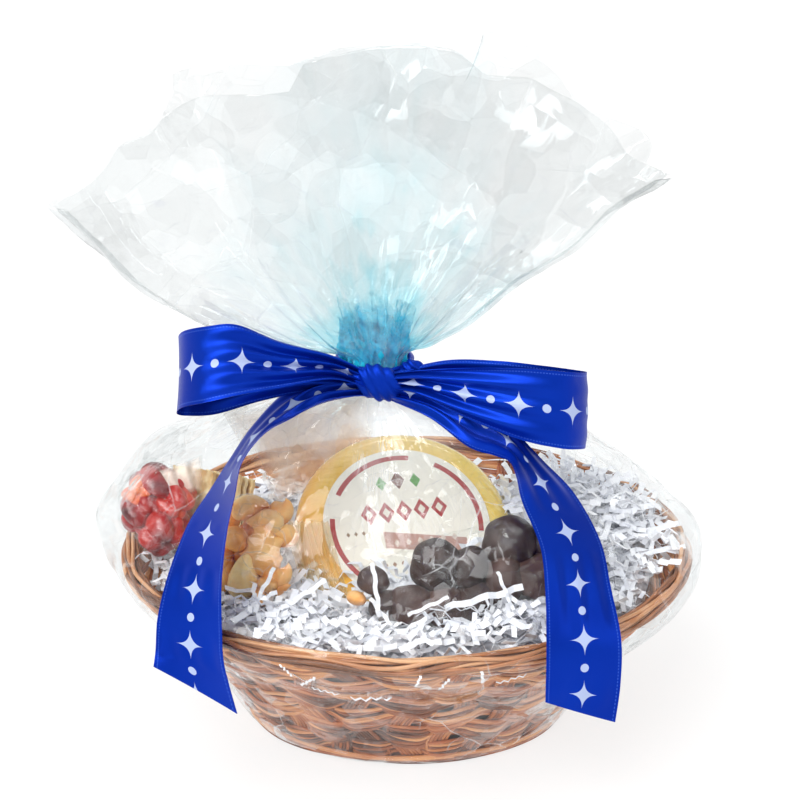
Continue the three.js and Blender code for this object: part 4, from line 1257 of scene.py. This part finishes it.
def body_depth(station):
    """How far the creases stand in or out, in metres: little where the film lies on the basket or in the tie."""
    return np.interp(station, [0, 1, 3, 5, 6, 7, 8, 10, 11, 12], [0, 0.0006, 0.0011, 0.0007, 0.0008, 0.0022, 0.0030, 0.0016, 0.0005, 0.0004])


def fan_depth(station):
    return np.interp(station, [11, 12, 13, 15, 17], [0.0004, 0.0004, 0.0014, 0.0034, 0.0048])


wrap = film_piece("film_wrap_body", 0, 11.6, 116, 288, 31, body_depth)
blues = [(0.36, 0.76, 0.87), (0.58, 0.87, 0.93), (0.79, 0.935, 0.96), (0.92, 0.972, 0.98), (0.962, 0.984, 0.988)]
blues = [(*blue, 1) for blue in blues] + [CLEAR]
wrap_film = film_material("wrap_film", 34.0, 0.36, 0.0, 0.42, blues, (4, 4, 6), folds=0.11, gloss=1.0)
dress(wrap, wrap_film, "film", "film_wrap")
fan = film_piece("film_wrap_fan", 11.6, 17, 92, 288, 47, fan_depth)
fan_film = film_material("fan_film", 21.0, 0.32, 0.012, 0.16, blues, (1.6, 1.2, 0.62), folds=0.08, gloss=1.2, grey=0.09)
dress(fan, fan_film, "film", "film_wrap")



def gather_places(station, turn):
    """Inside the tie the sheet is bunched in deep folds, which fill the neck and let little light through."""
    folds = 0.84 + 0.10 * np.sin(13 * turn + 2 * np.sin(2 * turn) + station) + 0.06 * np.sin(24 * turn - 2 * station)
    reach = 0.0178 * folds * (0.86 + 0.24 * (station - 1))
    rise = 0.187 + (0.037 + 0.003 * np.sin(5 * turn) + 0.002 * np.sin(11 * turn + 1)) * (station - 1)
    return np.stack([TIE[0] + reach * np.cos(turn), reach * np.sin(turn), rise], axis=-1)


gather = film_piece("film_wrap_gather", 1, 2, 60, 288, 53, lambda at: 0.0022 + 0 * at, gather_places, 0.010)
bunched = film_material("bunched_film", 120.0, 0.5, 0.76, 0.6, gloss=1.2, milk=paint(34, 206, 236), top=0.227)
dress(gather, bunched, "film", "film_wrap")

# The ribbon
# One satin ribbon 38 mm wide with stitched edges and a silver print, tied round the gathered film: a knot over
# the tie, two loops and two tails that hang down the front.

RIBBON_WIDTH = 0.038
LOOPS_AND_TAILS = {  # a place, then half the width there, in millimetres
    "ribbon_left_loop": [
        ((-18, -24.4, 196.6), (0, 1, 4)),
        ((-36, -29, 206), (0, 3, 5)),
        ((-61, -39, 212), (0, 7, 9)),
        ((-81, -45, 217), (0, 10, 14)),
        ((-95, -45, 215), (0, 12, 14.5)),
        ((-107, -37, 209), (0, 12.5, 14.5)),
        ((-111, -27, 201), (0, 12.5, 14.5)),
        ((-107, -19, 196), (0, 12.5, 14.5)),
        ((-93, -18, 196), (0, 11.5, 14.5)),
        ((-70, -17, 198), (0, 8, 11)),
        ((-42, -17, 198), (0, 4, 7)),
        ((-16, -20, 194), (0, 1, 4)),
    ],
    "ribbon_right_loop": [
        ((-10.5, -24.2, 196.2), (0, 0, 4)),
        ((4, -27, 197), (0, 1, 6)),
        ((28, -37, 196), (0, 3, 12)),
        ((54, -45, 194), (0, 4, 17)),
        ((73, -45, 191), (0, 4, 18.5)),
        ((83, -38, 187), (0, 4, 18.5)),
        ((87, -28, 183), (0, 4, 18.5)),
        ((82, -19, 180), (0, 4, 18.5)),
        ((66, -16, 181), (0, 4, 18.5)),
        ((44, -16, 186), (0, 4, 16)),
        ((18, -17, 193), (0, 3, 10)),
        ((-12, -20, 194), (0, 0, 4)),
    ],
    "ribbon_left_tail": [
        ((-17, -22.8, 193), (0, 1, 4)),
        ((-40, -24, 192), (-1, 9, 3)),
        ((-57, -31, 187), (-3, 17, -1)),
        ((-72, -43, 179), (-4, 17, -6)),
        ((-82, -58, 170), (-4, 17, -7)),
        ((-88, -69, 159), (-7, 17, -7)),
        ((-94, -79, 148), (-10, 15, -6)),
        ((-98, -87, 136), (-12, 14, -5)),
        ((-101, -95, 123), (-14, 12, -4)),
        ((-103, -103, 107), (-16, 10, -3)),
        ((-103, -107, 90), (-17, 8, 0)),
        ((-101, -108, 73), (-20, 5, 10)),
    ],
    "ribbon_right_tail": [
        ((-12, -23.4, 192.6), (0, 1, 4.6)),
        ((11, -25, 188), (0, 8, 6)),
        ((32, -33, 179), (2, 17, 5)),
        ((44, -39, 175), (2, 18, 2)),
        ((52, -46, 171), (3, 18, -2)),
        ((59, -54, 164), (7, 17, -4)),
        ((68, -62, 152), (13, 13, -4)),
        ((78, -77, 135), (15, 11, -4)),
        ((81, -96, 120), (16, 9, -3)),
        ((83, -112, 102), (18, 6, -2)),
        ((83, -117, 82), (18, 5, -3)),
        ((82, -118, 67), (17, 4, -8)),
    ],
}

satin, tree = empty_material("blue_satin")
cloth = node(tree, "SeparateXYZ", {0: node(tree, "TexCoord").outputs["UV"]})
along, across = (calc(tree, "MULTIPLY", cloth.outputs[i], 1000) for i in (0, 1))
from_middle = calc(tree, "ABSOLUTE", calc(tree, "SUBTRACT", across, 19))


def cell(pitch, offset):
    """How far along from the middle of the nearest repeat, in millimetres."""
    moved = calc(tree, "FLOORED_MODULO", calc(tree, "ADD", along, offset), pitch)
    return calc(tree, "ABSOLUTE", calc(tree, "SUBTRACT", moved, pitch / 2))


def root(value):
    return calc(tree, "SQRT", calc(tree, "MAXIMUM", value, 0.0))


star = calc(tree, "LESS_THAN", calc(tree, "ADD", root(cell(27, 0)), root(from_middle)), 2.8)
dot_reach = calc(tree, "ADD", calc(tree, "POWER", cell(27, 13.5), 2), calc(tree, "POWER", from_middle, 2))
dots = calc(tree, "LESS_THAN", dot_reach, 4.4)
stitch_line = calc(tree, "COMPARE", from_middle, 17.4, 0.28)
stitches = calc(tree, "MULTIPLY", stitch_line, calc(tree, "GREATER_THAN", cell(1.5, 0), 0.32))
threads = node(tree, "TexWave", {"Vector": node(tree, "CombineXYZ", {0: along, 1: across}).outputs[0], "Scale": 1.3}).outputs[1]
place = node(tree, "TexCoord").outputs["Object"]
uneven = node(tree, "TexNoise", {"Vector": place, "Scale": 28.0, "Detail": 1.0}).outputs[0]
blue = blend_colours(tree, uneven, paint(2, 36, 146), paint(4, 54, 176))
blue = blend_colours(tree, calc(tree, "MULTIPLY", stitches, 0.5), blue, paint(70, 110, 222))
silver = calc(tree, "MULTIPLY", calc(tree, "MAXIMUM", star, dots), 0.9)
colour = blend_colours(tree, silver, blue, paint(176, 190, 222))
relief = calc(tree, "ADD", calc(tree, "MULTIPLY", threads, 0.4), calc(tree, "MULTIPLY", stitches, -1.5))
bump = node(tree, "Bump", {"Height": relief, "Strength": 0.35, "Distance": 0.0001})
show(
    tree,
    node(
        tree,
        "BsdfPrincipled",
        {
            "Base Color": colour,
            "Metallic": calc(tree, "MULTIPLY", calc(tree, "SUBTRACT", 1, silver), 0.6),
            "Roughness": 0.34,
            "Specular IOR Level": 0.1,
            "Normal": bump.outputs[0],
        },
    ),
)


def ribbon_length(marks):
    line = spline([place for place, _ in marks], np.linspace(0, len(marks) - 1, 400))
    return np.concatenate([[0], np.cumsum(np.linalg.norm(np.diff(line, axis=0), axis=1))]) / 1000


def ribbon_piece(name, marks, steps=150, strands=44):
    """A strip of ribbon swept along its marks, pleated where it leaves the knot."""
    bpy.ops.object.select_all(action="DESELECT")
    bpy.ops.mesh.primitive_grid_add(x_subdivisions=steps, y_subdivisions=strands, size=1)
    strip = bpy.context.active_object
    strip.name = strip.data.name = name
    at = places_of(strip)
    go, across = (at[:, 0] + 0.5) * (len(marks) - 1), at[:, 1] * 2
    line = lambda t: spline([place for place, _ in marks], t)
    half = spline([half for _, half in marks], go)
    tangent = line(np.minimum(go + 0.01, len(marks) - 1)) - line(np.maximum(go - 0.01, 0))
    lift = np.cross(tangent, half)
    lift /= np.linalg.norm(lift, axis=1)[:, None]
    run = ribbon_length(marks)
    length = np.interp(go, np.linspace(0, len(marks) - 1, 400), run)
    narrow = np.maximum((1000 * RIBBON_WIDTH / 2) ** 2 - np.linalg.norm(half, axis=1) ** 2, 0)
    pleats = 0.8 * np.sqrt(2 * narrow) / 10.5 * np.cos(across * 10.5 + 0.6) + 0.7 * (1 - across**2)
    put_places(strip, (line(go) + half * across[:, None] + lift * pleats[:, None]) / 1000)
    layer = strip.data.uv_layers.active or strip.data.uv_layers.new(name="UVMap")
    corner = np.empty(len(strip.data.loops), int)
    strip.data.loops.foreach_get("vertex_index", corner)
    flat = np.stack([length[corner], (across[corner] + 1) / 2 * RIBBON_WIDTH], axis=-1)
    layer.data.foreach_set("uv", flat.astype(np.float32).ravel())
    add_modifier(strip, "SOLIDIFY", thickness=0.0003, offset=0)
    smooth(strip, 60)
    dress(strip, satin, "satin", "ribbon_bow")
    return strip, float(run[-1])


for name, marks in LOOPS_AND_TAILS.items():
    strip, length = ribbon_piece(name, marks)

bpy.ops.object.select_all(action="DESELECT")
bpy.ops.mesh.primitive_uv_sphere_add(segments=72, ring_count=48)
knot = bpy.context.active_object
knot.name = knot.data.name = "ribbon_knot"
at = places_of(knot)
wrapped = 1 + 0.07 * np.cos(16 * (at[:, 0] * 0.75 + at[:, 2] * 0.66)) * (1 - at[:, 1] ** 2 * 0.3)
put_places(knot, at * wrapped[:, None] * np.array([0.0128, 0.0058, 0.0088]))
knot.location, knot.rotation_euler = (-0.014, -0.0235, 0.1955), (0, math.radians(22), 0)
finish_place(knot)
smooth(knot)
dress(knot, satin, "satin", "ribbon_bow")

bpy.ops.object.select_all(action="DESELECT")
bpy.ops.mesh.primitive_torus_add(
    major_segments=144, minor_segments=24, major_radius=0.0178, minor_radius=0.0018, location=(-0.016, 0, 0.1944)
)
band = bpy.context.active_object
band.name = band.data.name = "ribbon_band"
finish_place(band)
at = places_of(band)
tall = (at[:, 2] - 0.1944) / 0.0018
turn = np.arctan2(at[:, 1], at[:, 0] + 0.016)
fold = 0.0005 * np.cos(tall * 9 + 1.5 * np.sin(2 * turn))
put_places(band, np.stack([at[:, 0] + fold * np.cos(turn), at[:, 1] + fold * np.sin(turn), 0.1944 + tall * 0.0056], axis=-1))
smooth(band)
dress(band, satin, "satin", "ribbon_bow")

bpy.ops.object.select_all(action="DESELECT")
bpy.ops.mesh.primitive_uv_sphere_add(segments=48, ring_count=32)
ear = bpy.context.active_object
ear.name = ear.data.name = "ribbon_ear"
at = places_of(ear)
put_places(ear, at * (1 + 0.08 * np.cos(at[:, 2] * 3 + at[:, 0] * 11))[:, None] * np.array([0.0062, 0.0042, 0.0068]))
ear.location, ear.rotation_euler = (0.003, -0.015, 0.1975), (0, math.radians(-35), 0)
finish_place(ear)
smooth(ear)
dress(ear, satin, "satin", "ribbon_bow")

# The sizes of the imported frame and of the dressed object
size = {"cad": [list(corner) for corner in cad_box], "visual": [list(corner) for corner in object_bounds()]}
